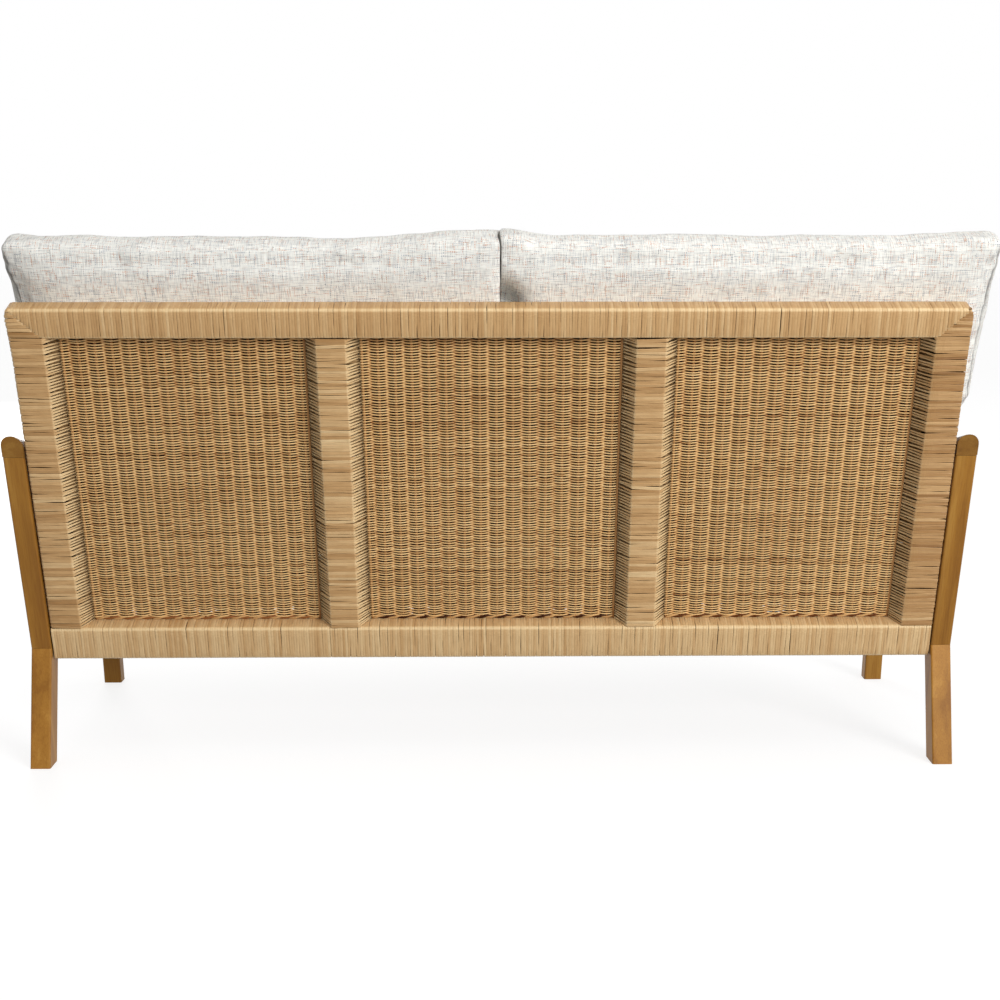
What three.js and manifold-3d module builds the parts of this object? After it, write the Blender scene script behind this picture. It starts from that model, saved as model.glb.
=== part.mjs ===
// A rattan garden sofa: two timber side frames carry a raked, cane-wrapped back frame with three
// woven panels, a slatted seat deck and four loose cushions. Millimetres, +Z up, facing -Y.

import * as THREE from 'three';
import * as BufferGeometryUtils from 'three/addons/utils/BufferGeometryUtils.js';
import Module from 'manifold-3d';

const wasm = await Module();
wasm.setup();

// Whole sofa
const overallWidth = 1700;
const timberWidth = 37;
const fitGap = 0.3;
const cutOverrun = 4;
const edgeRadius = 3;
const filletSteps = 3;
const roundSteps = 6;
const wideRadius = 10;
const roundSides = 16;

// Rear legs: a raked upper post on a lower leg that splays backwards
const backRake = THREE.MathUtils.degToRad(18.3);
const kinkHeight = 216;
const kinkSetback = 45;
const rearLegDepth = 50;
const postTopDepth = 45;

// Armrests
const armRearHeight = 626;
const armThickness = 36;
const armDrop = 75;
const noseOverhang = 56;
const noseRun = 18;
const armTopRadius = 17;
const armUnderRadius = 1;
const armStations = 12;
const noseStations = 4;
const noseTurn = THREE.MathUtils.degToRad(68);

// Front legs
const frontLegLean = THREE.MathUtils.degToRad(10);
const frontFootDistance = 600;
const frontFootDepth = 34;
const frontLegTopDepth = 44;

// Joints between timber members
const tenonThickness = 12;
const tenonWidth = 26;
const tenonLength = 20;
const railTenonLength = 12;

// Back frame, in its own plane
const backBottomHeight = 192;
const backHeight = 690;
const backDepth = 40;
const backInset = 1.5;
const frameGap = 2.5;
const backCornerRadius = 14;
const wrapThickness = 3;
const wrapEdgeRadius = 6;
const topRailFace = 54;
const bottomRailFace = 66.5;
const stileFace = 57;
const stileFlare = 19;
const mullionFace = 52;
const mullionFlare = 21;
const mullionCentre = 271.5;

// Woven panels
const panelThickness = 8;
const weaveThickness = 5;
const stakePitch = 29;
const stakeRadius = 3.6;
const borderHeight = 8;
const ribSteps = 3;

// Seat deck
const seatSlope = THREE.MathUtils.degToRad(4);
const deckHeight = 306;
const frontRailFace = 66.5;
const frontRailDepth = 40;
const sideRailFace = 56;
const sideRailLip = 6;
const rearRailFace = 54;
const rearRailDepth = 28;
const cleatFace = 25;
const cleatDepth = 22;
const stretcherFace = 40;
const stretcherWidth = 28;
const slatCount = 12;
const slatWidth = 70;
const slatThickness = 14;
const slatEdgeMargin = 32;

// Bolts that clamp the side frames to the back frame and the seat rails
const boltShankDiameter = 6;
const boltHeadDiameter = 14;
const boltHeadThickness = 4;
const boltLength = 70;
const boltRecess = 1.5;
const hexKeySize = 4;
const hexKeyDepth = 2.5;
const lowerBackBolt = 120;
const upperBoltBelowArm = 58;

// Cushions
const seatCushionThickness = 145;
const seatCushionOverhang = 6;
const backCushionTop = 789;
const backCushionThickness = 150;
const cushionGap = 3;
const cushionSideClearance = 2.5;
const cushionSeat = 0.4;
const cushionCornerRadius = 34;
const cushionBorderBulge = 9;
const cushionDrawIn = 8;
const seatEdgeShare = 0.76;
const backEdgeShare = 0.55;
const seatRearFall = 0.3;
const backTopFall = 1;
const backSplit = 16.5;
const leftCushionReach = 828;
const rightCushionReach = overallWidth / 2;
const overhangClearance = 8;
const overhangRise = 45;

// Finishes
const timber = finish('#b5803f', 0.5, 0);
const hardwood = finish('#9c7446', 0.7, 0);
const cane = finish('#c9a56d', 0.6, 0);
const weave = finish('#bd9458', 0.65, 0);
const fabric = finish('#dedad0', 0.95, 0);
const steel = finish('#8d8f92', 0.35, 1);

function finish(color, roughness, metalness) {
  return new THREE.MeshStandardMaterial({ color, roughness, metalness });
}

// Outlines

function point(x, y) {
  return new THREE.Vector2(x, y);
}

// Rounds each corner of an anticlockwise outline by an arc of its own radius.
function rounded(corners, radii) {
  const outline = [];
  corners.forEach((corner, i) => {
    const radius = Array.isArray(radii) ? radii[i] : radii;
    if (radius === 0) {
      outline.push(corner);
      return;
    }
    const toBefore = corners.at(i - 1).clone().sub(corner).normalize();
    const toAfter = corners[(i + 1) % corners.length].clone().sub(corner).normalize();
    const half = toBefore.angleTo(toAfter) / 2;
    const inward = toBefore.clone().add(toAfter).normalize();
    const centre = corner.clone().addScaledVector(inward, radius / Math.sin(half));
    const first = corner.clone().addScaledVector(toBefore, radius / Math.tan(half)).sub(centre);
    const last = corner.clone().addScaledVector(toAfter, radius / Math.tan(half)).sub(centre);
    const sweep = Math.atan2(first.cross(last), first.dot(last));
    const steps = radius < wideRadius ? filletSteps : roundSteps;
    for (let step = 0; step <= steps; step += 1) {
      const spoke = first.clone().rotateAround(new THREE.Vector2(), sweep * step / steps);
      outline.push(spoke.add(centre));
    }
  });
  return outline;
}

// Moves every edge of an anticlockwise outline inwards by the same distance.
function inset(corners, distance) {
  return corners.map((corner, i) => {
    const arriving = corner.clone().sub(corners.at(i - 1)).normalize();
    const leaving = corners[(i + 1) % corners.length].clone().sub(corner).normalize();
    const across = point(-arriving.y - leaving.y, arriving.x + leaving.x);
    return corner.clone().addScaledVector(across, 2 * distance / across.lengthSq());
  });
}

function rectangle(left, bottom, right, top) {
  return [point(left, bottom), point(right, bottom), point(right, top), point(left, top)];
}

// Solids

// Joins rings of points into one closed solid; the outline says how the ends are filled.
function loft(rings, outline) {
  const count = outline.length;
  const last = (rings.length - 1) * count;
  const index = [];
  for (let ring = 0; ring < last; ring += count) {
    for (let i = 0; i < count; i += 1) {
      const next = (i + 1) % count;
      index.push(ring + i, ring + next, ring + count + next);
      index.push(ring + i, ring + count + next, ring + count + i);
    }
  }
  for (const [a, b, c] of THREE.ShapeUtils.triangulateShape(outline, [])) {
    const clockwise = THREE.ShapeUtils.isClockWise([outline[a], outline[b], outline[c]]);
    const [second, third] = clockwise ? [c, b] : [b, c];
    index.push(a, third, second);
    index.push(last + a, last + second, last + third);
  }
  const geometry = new THREE.BufferGeometry();
  const places = rings.flat().flatMap((place) => place.toArray());
  geometry.setAttribute('position', new THREE.Float32BufferAttribute(places, 3));
  geometry.setIndex(index);
  return facingOut(geometry);
}

function facingOut(geometry) {
  const { position } = geometry.attributes;
  const corners = [new THREE.Vector3(), new THREE.Vector3(), new THREE.Vector3()];
  let volume = 0;
  for (let i = 0; i < geometry.index.count; i += 3) {
    corners.forEach((corner, k) => corner.fromBufferAttribute(position, geometry.index.getX(i + k)));
    volume += corners[0].dot(corners[1].clone().cross(corners[2]));
  }
  if (volume < 0) {
    geometry.index.array.reverse();
  }
  return geometry;
}

// A straight bar from one plane to another, along the placement's own Z axis.
function bar(startOutline, endOutline, length, placement, startPlane, endPlane) {
  const lines = startOutline.map((start, i) => {
    const from = new THREE.Vector3(start.x, start.y, 0).applyMatrix4(placement);
    const to = new THREE.Vector3(endOutline[i].x, endOutline[i].y, length).applyMatrix4(placement);
    return { from, along: to.sub(from) };
  });
  const meet = (plane) => lines.map(({ from, along }) => {
    const share = -plane.distanceToPoint(from) / plane.normal.dot(along);
    return from.clone().addScaledVector(along, share);
  });
  return loft([meet(startPlane), meet(endPlane)], startOutline);
}

function prism(outline, from, to, axis) {
  const place = {
    x: (x, y, t) => new THREE.Vector3(t, x, y),
    y: (x, y, t) => new THREE.Vector3(x, t, y),
    z: (x, y, t) => new THREE.Vector3(x, y, t)
  }[axis];
  return loft([from, to].map((t) => outline.map(({ x, y }) => place(x, y, t))), outline);
}

function block(low, high) {
  return prism(rectangle(low.x, low.y, high.x, high.y), low.z, high.z, 'z');
}

function solidOf(geometry) {
  const bare = geometry.clone();
  bare.deleteAttribute('normal');
  bare.deleteAttribute('uv');
  const merged = BufferGeometryUtils.mergeVertices(bare);
  return new wasm.Manifold(new wasm.Mesh({
    numProp: 3,
    vertProperties: merged.attributes.position.array,
    triVerts: Uint32Array.from(merged.index.array)
  }));
}

function geometryOf(solid) {
  const mesh = solid.getMesh();
  const geometry = new THREE.BufferGeometry();
  geometry.setAttribute('position', new THREE.BufferAttribute(mesh.vertProperties, 3));
  geometry.setIndex(new THREE.BufferAttribute(mesh.triVerts, 1));
  return geometry;
}

function cut(geometry, ...tools) {
  return geometryOf(tools.reduce((solid, tool) => solid.subtract(solidOf(tool)), solidOf(geometry)));
}

function join(geometry, ...others) {
  return geometryOf(others.reduce((solid, other) => solid.add(solidOf(other)), solidOf(geometry)));
}

function within(geometry, limit) {
  return geometryOf(solidOf(geometry).intersect(solidOf(limit)));
}

// The assembly's groups

const sideCentre = (overallWidth - timberWidth) / 2;
const innerHalf = overallWidth / 2 - timberWidth;
const backHalf = innerHalf - frameGap;
const kink = new THREE.Vector3(0, -kinkSetback, kinkHeight);
const legSplay = Math.atan2(kinkSetback, kinkHeight);

// The post's rear face is the line that the whole back follows.
function postRearY(height) {
  return kink.y + (height - kink.z) * Math.tan(backRake);
}

function frontLegRearY(height) {
  return height * Math.tan(frontLegLean) - frontFootDistance;
}

const sofa = new THREE.Group();
const sideFrames = [1, -1].map((side) => {
  const group = new THREE.Group();
  group.position.x = side * sideCentre;
  return { side, group, name: side > 0 ? 'left' : 'right' };
});

const backFrame = new THREE.Group();
backFrame.position.set(0, postRearY(backBottomHeight) - backInset, backBottomHeight);
backFrame.rotation.x = -backRake;

const seatFrame = new THREE.Group();
const frontLegMiddle = frontFootDepth + (frontLegTopDepth - frontFootDepth) * deckHeight / armRearHeight;
const frontRailCentreY = frontLegRearY(deckHeight - frontRailFace / 2) - frontLegMiddle / 2;
seatFrame.position.set(0, frontRailCentreY + frontRailDepth / 2, deckHeight);
seatFrame.rotation.x = -seatSlope;

sofa.add(backFrame, seatFrame, ...sideFrames.map(({ group }) => group));
sofa.updateMatrixWorld(true);

function add(group, name, geometry, material) {
  geometry.deleteAttribute('normal');
  const shown = geometry.index ? geometry.toNonIndexed() : geometry;
  shown.computeVertexNormals();
  const mesh = new THREE.Mesh(shown, material);
  mesh.name = name;
  group.add(mesh);
  return mesh;
}

// Carries a cutting solid from the back or seat frame into a side frame's own coordinates.
function toSideFrame(geometry, group, side) {
  return geometry.clone().applyMatrix4(group.matrixWorld).translate(-side * sideCentre, 0, 0);
}

// Bolts

function boltRod(diameter, from, to) {
  const rod = new THREE.CylinderGeometry(diameter / 2, diameter / 2, to - from, roundSides);
  return rod.rotateZ(Math.PI / 2).translate((from + to) / 2, 0, 0);
}

const boltHeadFace = overallWidth / 2 - boltRecess;
const boltUnderHead = boltHeadFace - boltHeadThickness;
const boltTip = boltUnderHead - boltLength;

function placedBolt(geometry, side, y, z) {
  return geometry.rotateZ(side > 0 ? 0 : Math.PI).translate(0, y, z);
}

function bolt(side, y, z) {
  const shank = boltRod(boltShankDiameter, boltTip, boltUnderHead + boltHeadThickness / 2);
  const head = boltRod(boltHeadDiameter, boltUnderHead, boltHeadFace);
  const keyRadius = hexKeySize / Math.sqrt(3);
  const keyLength = hexKeyDepth + cutOverrun;
  const key = new THREE.CylinderGeometry(keyRadius, keyRadius, keyLength, 6).rotateZ(Math.PI / 2);
  key.translate(boltHeadFace - hexKeyDepth + keyLength / 2, 0, 0);
  return placedBolt(cut(join(shank, head), key), side, y, z);
}

function boltHole(side, y, z) {
  const grown = 2 * fitGap;
  const shank = boltRod(boltShankDiameter + grown, boltTip - fitGap, overallWidth / 2);
  const head = boltRod(boltHeadDiameter + grown, boltUnderHead - fitGap, overallWidth / 2 + cutOverrun);
  return placedBolt(join(shank, head), side, y, z);
}

const backBoltY = -backDepth / 2;
const armUnderUpBack = (armRearHeight - armThickness - backBottomHeight) / Math.cos(backRake);
const upperBackBolt = armUnderUpBack - upperBoltBelowArm;
const frontRailBolt = point(-frontRailDepth / 2, -fitGap - frontRailFace / 2);
const railTop = -slatThickness - fitGap;

// Local Y, in the seat frame, at which a leaning plane is met at a given local height.
function seatYAt(planeY, lean, height) {
  const across = Math.cos(seatSlope) + Math.tan(lean) * Math.sin(seatSlope);
  const rise = height * (Math.tan(lean) * Math.cos(seatSlope) - Math.sin(seatSlope));
  return (planeY(seatFrame.position.z) - seatFrame.position.y + rise) / across;
}

function backFrontY(height) {
  const faceY = backFrame.position.y + (height - backBottomHeight) * Math.tan(backRake);
  return faceY - backDepth / Math.cos(backRake);
}

function postFrontY(height) {
  return postRearY(height) - rearLegDepth / Math.cos(backRake);
}

const rearRailBack = seatYAt(postFrontY, backRake, railTop - rearRailFace) - fitGap;
const rearRailBolt = point(rearRailBack - rearRailDepth / 2, railTop - rearRailFace / 2);

// Side frames

function leaning(angle, y, z) {
  return new THREE.Matrix4().makeTranslation(0, y, z).multiply(new THREE.Matrix4().makeRotationX(angle));
}

function legOutline(depth) {
  return rounded(rectangle(-timberWidth / 2, -depth, timberWidth / 2, 0), edgeRadius);
}

// Distances along the rear leg and the post, past the planes that cut them off.
const legRun = kinkHeight / Math.cos(legSplay);
const postPlacement = leaning(-backRake, kink.y, kink.z);
const postRun = (armRearHeight - kinkHeight) / Math.cos(backRake);
const frontLegPlacement = leaning(-frontLegLean, -frontFootDistance, 0);
const frontLegRun = armRearHeight / Math.cos(frontLegLean);

const floorPlane = new THREE.Plane(new THREE.Vector3(0, 0, 1), 0);
const kinkTilt = (backRake - legSplay) / 2;
const kinkNormal = new THREE.Vector3(0, Math.sin(kinkTilt), Math.cos(kinkTilt));

function shifted(plane, distance) {
  return new THREE.Plane(plane.normal.clone(), plane.constant - distance);
}

const kinkPlane = new THREE.Plane().setFromNormalAndCoplanarPoint(kinkNormal, kink);

// The armrest's top falls in a parabola from its rear end to its nose, past the front leg.
const armRearY = postRearY(armRearHeight);
const frontLegTopY = frontLegRearY(armRearHeight - armDrop - armThickness);
const armLength = armRearY - frontLegTopY + frontLegTopDepth + noseOverhang;

function armTop(y) {
  const share = (armRearY - y) / armLength;
  return armRearHeight - armDrop * share * (2 - share);
}

function armSlope(y) {
  const share = (armRearY - y) / armLength;
  return 2 * armDrop * (1 - share) / armLength;
}

function armUnderPlane(y) {
  const normal = new THREE.Vector3(0, -armSlope(y), 1).normalize();
  const under = new THREE.Vector3(0, y, armTop(y) - armThickness);
  return new THREE.Plane().setFromNormalAndCoplanarPoint(normal, under);
}

const postTopY = postRearY(armRearHeight - armThickness) - postTopDepth / 2;
const postTopPlane = armUnderPlane(postTopY);
const frontLegTopPlane = armUnderPlane(frontLegTopY - frontLegTopDepth / 2);

// A tenon that stands out of a joint plane, up or down, and is rooted as deep behind it.
// It is grown on every side when it serves to cut its own mortise.
function tenon(placement, depth, plane, direction, grown) {
  const halfThickness = tenonThickness / 2 + grown;
  const halfWidth = tenonWidth / 2 + grown;
  const outline = rectangle(-halfThickness, -depth / 2 - halfWidth, halfThickness, -depth / 2 + halfWidth);
  const root = shifted(plane, -direction * tenonLength);
  const tip = shifted(plane, direction * (tenonLength + grown));
  return bar(outline, outline, postRun, placement, root, tip);
}

function rearLeg(side) {
  const outline = legOutline(rearLegDepth);
  const placement = leaning(legSplay, 0, 0);
  const body = bar(outline, outline, legRun, placement, floorPlane, shifted(kinkPlane, -fitGap));
  return cut(body, tenon(postPlacement, rearLegDepth, kinkPlane, -1, fitGap));
}

function sideRailPlane(facing) {
  if (facing === 'rear') {
    const normal = new THREE.Vector3(0, Math.cos(backRake), -Math.sin(backRake));
    const front = new THREE.Vector3(0, postFrontY(kinkHeight), kinkHeight);
    return new THREE.Plane().setFromNormalAndCoplanarPoint(normal, front);
  }
  const normal = new THREE.Vector3(0, Math.cos(frontLegLean), -Math.sin(frontLegLean));
  const rear = new THREE.Vector3(0, -frontFootDistance, 0);
  return new THREE.Plane().setFromNormalAndCoplanarPoint(normal, rear);
}

// The side rail lies along the seat's slope, so its section is drawn square to that slope.
const railPlacement = seatFrame.matrixWorld.clone().multiply(new THREE.Matrix4().makeRotationX(Math.PI / 2));
const railRun = -frontFootDistance;

function railOutline(halfWidth, low, high, radius) {
  return rounded(rectangle(-halfWidth, low, halfWidth, high), radius);
}

function sideRailTenons(grown) {
  const middle = sideRailLip - sideRailFace / 2;
  const reach = tenonWidth / 2 + grown;
  const outline = railOutline(tenonThickness / 2 + grown, middle - reach, middle + reach, 0);
  const rear = shifted(sideRailPlane('rear'), railTenonLength + grown);
  const front = shifted(sideRailPlane('front'), -railTenonLength - grown);
  return bar(outline, outline, railRun, railPlacement, front, rear);
}

function sideRail(side) {
  const low = sideRailLip - sideRailFace;
  const outline = railOutline(timberWidth / 2, low, sideRailLip, edgeRadius);
  const rear = shifted(sideRailPlane('rear'), -fitGap);
  const front = shifted(sideRailPlane('front'), fitGap);
  const body = join(bar(outline, outline, railRun, railPlacement, front, rear), sideRailTenons(0));
  return cut(body, toSideFrame(boltHole(side, rearRailBolt.x, rearRailBolt.y), seatFrame, side));
}

function rearPost(side) {
  const start = legOutline(rearLegDepth);
  const end = legOutline(postTopDepth);
  const body = bar(start, end, postRun, postPlacement, kinkPlane, shifted(postTopPlane, -fitGap));
  const upperTenon = tenon(postPlacement, postTopDepth, postTopPlane, 1, 0);
  const lowerTenon = tenon(postPlacement, rearLegDepth, kinkPlane, -1, 0);
  const holes = [lowerBackBolt, upperBackBolt].map((z) => boltHole(side, backBoltY, z));
  const cutters = holes.map((hole) => toSideFrame(hole, backFrame, side));
  return cut(join(body, upperTenon, lowerTenon), sideRailTenons(fitGap), ...cutters);
}

function frontLeg(side) {
  const start = legOutline(frontFootDepth);
  const end = legOutline(frontLegTopDepth);
  const top = shifted(frontLegTopPlane, -fitGap);
  const body = bar(start, end, frontLegRun, frontLegPlacement, floorPlane, top);
  const upperTenon = tenon(frontLegPlacement, frontLegTopDepth, frontLegTopPlane, 1, 0);
  const hole = toSideFrame(boltHole(side, frontRailBolt.x, frontRailBolt.y), seatFrame, side);
  return cut(join(body, upperTenon), sideRailTenons(fitGap), hole);
}

// The armrest's rear end is cut flush with the post's rear face, and its underside lies on the post.
function armrest() {
  const corners = rectangle(-timberWidth / 2, -armThickness, timberWidth / 2, 0);
  const outline = rounded(corners, [armUnderRadius, armUnderRadius, armTopRadius, armTopRadius]);
  const rearShear = Math.tan(backRake) / (1 - Math.tan(backRake) * armSlope(armRearY));
  const rings = [];
  for (let station = 0; station <= armStations; station += 1) {
    const y = armRearY - (armLength - noseRun) * station / armStations;
    const shear = station === 0 ? rearShear : 0;
    rings.push(outline.map(({ x, y: z }) => {
      const along = y + shear * z;
      return new THREE.Vector3(x, along, armTop(along) + z);
    }));
  }
  for (let station = 1; station <= noseStations; station += 1) {
    const turn = noseTurn * station / noseStations;
    const y = armRearY - armLength + noseRun * (1 - Math.sin(turn));
    const middle = -armThickness / 2;
    rings.push(outline.map(({ x, y: z }) => {
      const height = middle + (z - middle) * Math.cos(turn);
      return new THREE.Vector3(x * (1 + Math.cos(turn)) / 2, y, armTop(y) + height);
    }));
  }
  const mortises = [
    tenon(postPlacement, postTopDepth, postTopPlane, 1, fitGap),
    tenon(frontLegPlacement, frontLegTopDepth, frontLegTopPlane, 1, fitGap)
  ];
  return cut(loft(rings, outline), ...mortises);
}

for (const { side, group, name } of sideFrames) {
  add(group, `rear_leg_${name}`, rearLeg(side), timber);
  add(group, `rear_post_${name}`, rearPost(side), timber);
  add(group, `front_leg_${name}`, frontLeg(side), timber);
  add(group, `side_rail_${name}`, sideRail(side), timber);
  add(group, `armrest_${name}`, armrest(), timber);
}

// Back frame cores: hardwood rails, stiles and mullions with stub tenons

const coreInset = wrapThickness + fitGap;
const coreTop = backHeight - coreInset;
const topRailBottom = backHeight - topRailFace;
const coreSpan = [topRailBottom + coreInset, bottomRailFace - coreInset];
const stileInner = backHalf - stileFace;
const coreTenonThickness = 14;
const coreTenonWidth = 28;
const coreTenonLength = 22;

function frameOutline(distance) {
  const corners = rectangle(-backHalf + distance, distance, backHalf - distance, backHeight - distance);
  const radius = Math.max(backCornerRadius - distance, edgeRadius);
  return rounded(corners, [0, 0, radius, radius]);
}

function framePrism(distance) {
  return prism(frameOutline(distance), -backDepth - cutOverrun, cutOverrun, 'y');
}

function uprightCore(left, right, grown) {
  const low = new THREE.Vector3(left - grown, coreInset - backDepth - grown, coreSpan[1] + fitGap);
  const high = new THREE.Vector3(right + grown, grown - coreInset, coreSpan[0] - fitGap);
  return block(low, high);
}

function uprightTenon(centre, grown) {
  const halfWidth = coreTenonWidth / 2 + grown;
  const halfThickness = coreTenonThickness / 2 + grown;
  const low = coreSpan[1] - coreTenonLength - grown;
  const high = coreSpan[0] + coreTenonLength + grown;
  return block(
    new THREE.Vector3(centre - halfWidth, -backDepth / 2 - halfThickness, low),
    new THREE.Vector3(centre + halfWidth, -backDepth / 2 + halfThickness, high)
  );
}

function railCore(low, high) {
  return block(
    new THREE.Vector3(-backHalf + coreInset, coreInset - backDepth, low),
    new THREE.Vector3(backHalf - coreInset, -coreInset, high)
  );
}

const uprights = [
  { name: 'stile_left', left: stileInner + coreInset, right: backHalf - coreInset },
  { name: 'stile_right', left: coreInset - backHalf, right: -stileInner - coreInset },
  ...[['mullion_left', mullionCentre], ['mullion_right', -mullionCentre]].map(([name, centre]) => ({
    name,
    left: centre - mullionFace / 2 + coreInset,
    right: centre + mullionFace / 2 - coreInset
  }))
];

function backBoltHoles() {
  const places = [lowerBackBolt, upperBackBolt].flatMap((z) => [[1, z], [-1, z]]);
  return places.map(([side, z]) => boltHole(side, backBoltY, z));
}

const coreMortises = uprights.map(({ left, right }) => uprightTenon((left + right) / 2, fitGap));
const topCore = within(railCore(coreSpan[0], coreTop), framePrism(coreInset));
add(backFrame, 'back_top_core', cut(topCore, ...coreMortises), hardwood);
add(backFrame, 'back_bottom_core', cut(railCore(coreInset, coreSpan[1]), ...coreMortises), hardwood);

for (const { name, left, right } of uprights) {
  const core = join(uprightCore(left, right, 0), uprightTenon((left + right) / 2, 0));
  add(backFrame, `back_${name}_core`, cut(core, ...backBoltHoles()), hardwood);
}

// Cane wraps: sleeves of flat cane, mitred at the top corners and flared towards the panels

const wrapCorner = edgeRadius;
const panelRear = panelThickness - backDepth;

// The section of a wrapped upright, flared on the sides that face a panel.
function flaredSection(left, right, leftFlare, rightFlare) {
  return [
    point(left - leftFlare, -backDepth),
    point(right + rightFlare, -backDepth),
    point(right + rightFlare, panelRear),
    point(right, 0),
    point(left, 0),
    point(left - leftFlare, panelRear)
  ];
}

function sleeve(section, outerRadii, from, to, axis) {
  const inner = inset(section, wrapThickness);
  const shell = within(prism(rounded(section, outerRadii), from, to, axis), framePrism(0));
  const hollow = prism(inner, from - cutOverrun, to + cutOverrun, axis);
  return cut(shell, axis === 'z' ? within(hollow, hollowLimit()) : hollow);
}

// A sleeve's hollow keeps clear of the frame's rounded top corners and runs on past its foot.
function hollowLimit() {
  const outline = rounded(
    rectangle(-backHalf, -backHeight, backHalf, backHeight - wrapThickness),
    [0, 0, backCornerRadius - wrapThickness, backCornerRadius - wrapThickness]
  );
  return prism(outline, -2 * backDepth, backDepth, 'y');
}

// The top rail's side of one mitre, which runs from the inner corner to the outer corner.
function mitreTool(side, grown) {
  const reach = topRailFace + cutOverrun;
  const inner = point(side * (stileInner + grown), topRailBottom - grown);
  const outer = point(inner.x + side * reach * stileFace / topRailFace, inner.y + reach);
  const outline = [point(-side * overallWidth, inner.y), inner, outer, point(-side * overallWidth, outer.y)];
  return prism(side > 0 ? outline : outline.reverse(), -2 * backDepth, backDepth, 'y');
}

const coreWindows = uprights.map(({ left, right }) => uprightCore(left, right, fitGap));
const uprightFoot = bottomRailFace + fitGap;

function stileWrap(side) {
  const flares = side > 0 ? [stileFlare, 0] : [0, stileFlare];
  const edges = [side * stileInner, side * backHalf].sort((a, b) => a - b);
  const section = flaredSection(...edges, ...flares);
  const radii = [wrapCorner, wrapCorner, 0, wrapEdgeRadius, wrapEdgeRadius, 0];
  const body = sleeve(section, radii, uprightFoot, backHeight + cutOverrun, 'z');
  return cut(body, mitreTool(side, fitGap), ...backBoltHoles());
}

function mullionWrap(side) {
  const centre = side * mullionCentre;
  const left = centre - mullionFace / 2;
  const section = flaredSection(left, left + mullionFace, mullionFlare, mullionFlare);
  const radii = [wrapCorner, wrapCorner, 0, wrapEdgeRadius, wrapEdgeRadius, 0];
  return sleeve(section, radii, uprightFoot, topRailBottom - fitGap, 'z');
}

function railWrap(low, high) {
  const section = rectangle(-backDepth, low, 0, high);
  const body = sleeve(section, wrapEdgeRadius, -backHalf, backHalf, 'x');
  return cut(body, ...coreWindows);
}

function topWrap() {
  const betweenMitres = within(mitreTool(1, 0), mitreTool(-1, 0));
  return within(railWrap(topRailBottom, backHeight), betweenMitres);
}

add(backFrame, 'back_top_wrap', topWrap(), cane);
add(backFrame, 'back_bottom_wrap', railWrap(0, bottomRailFace), cane);
for (const { side, name } of sideFrames) {
  add(backFrame, `back_stile_${name}_wrap`, stileWrap(side), cane);
  add(backFrame, `back_mullion_${name}_wrap`, mullionWrap(side), cane);
}

// Woven panels: a sheet of weave that swells round each upright stake, with a thicker border

function ribPoints(centre, middleY, facing) {
  const start = Math.asin(weaveThickness / 2 / stakeRadius);
  return Array.from({ length: ribSteps + 1 }, (_, step) => {
    const turn = start + (Math.PI - 2 * start) * step / ribSteps;
    const across = -facing * stakeRadius * Math.cos(turn);
    return point(centre + across, middleY - facing * stakeRadius * Math.sin(turn));
  });
}

function panel(left, right) {
  const from = left + fitGap;
  const to = right - fitGap;
  const middleY = panelThickness / 2 - backDepth;
  const count = Math.round((to - from) / stakePitch);
  const pitch = (to - from) / count;
  const centres = Array.from({ length: count }, (_, i) => from + pitch * (i + 0.5));
  const half = weaveThickness / 2;
  const outline = [
    point(from, middleY - half),
    ...centres.flatMap((centre) => ribPoints(centre, middleY, 1)),
    point(to, middleY - half),
    point(to, middleY + half),
    ...centres.toReversed().flatMap((centre) => ribPoints(centre, middleY, -1)),
    point(from, middleY + half)
  ];
  const low = uprightFoot;
  const high = topRailBottom - fitGap;
  const borders = [low, high - borderHeight].map((z) => block(
    new THREE.Vector3(from, -backDepth, z),
    new THREE.Vector3(to, panelThickness - backDepth, z + borderHeight)
  ));
  return join(prism(outline, low, high, 'z'), ...borders);
}

const mullionReach = mullionFace / 2 + mullionFlare;
const centreReach = mullionCentre - mullionReach;
const sidePanel = [mullionCentre + mullionReach, stileInner - stileFlare];
add(backFrame, 'woven_panel_left', panel(...sidePanel), weave);
add(backFrame, 'woven_panel_centre', panel(-centreReach, centreReach), weave);
add(backFrame, 'woven_panel_right', panel(-sidePanel[1], -sidePanel[0]), weave);

for (const { side, name } of sideFrames) {
  add(backFrame, `bolt_back_upper_${name}`, bolt(side, backBoltY, upperBackBolt), steel);
  add(backFrame, `bolt_back_lower_${name}`, bolt(side, backBoltY, lowerBackBolt), steel);
}

// Seat frame: a wrapped front rail, a plain rear rail, a cleat and a stretcher under the slats

const railHalf = innerHalf - fitGap;

function seatBlock(left, right, rear, front, low, high) {
  const outline = rounded(rectangle(front, low, rear, high), edgeRadius);
  return prism(outline, left, right, 'x');
}

function seatBoltHoles({ x: y, y: z }) {
  return [1, -1].map((side) => boltHole(side, y, z));
}

const frontRailTop = -fitGap;
const frontRailLow = frontRailTop - frontRailFace;
const frontSection = rectangle(-frontRailDepth, frontRailLow, 0, frontRailTop);
const frontCoreSection = inset(frontSection, coreInset);
const frontCore = prism(frontCoreSection, -railHalf, railHalf, 'x');
const frontShell = prism(rounded(frontSection, wrapEdgeRadius), -railHalf, railHalf, 'x');
const frontHollow = prism(inset(frontSection, wrapThickness), -innerHalf, innerHalf, 'x');
add(seatFrame, 'front_rail_core', cut(frontCore, ...seatBoltHoles(frontRailBolt)), hardwood);
add(seatFrame, 'front_rail_wrap', cut(frontShell, frontHollow), cane);

const rearRailFront = rearRailBack - rearRailDepth;
const rearRail = seatBlock(-railHalf, railHalf, rearRailBack, rearRailFront, railTop - rearRailFace, railTop);
add(seatFrame, 'rear_seat_rail', cut(rearRail, ...seatBoltHoles(rearRailBolt)), hardwood);

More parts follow.
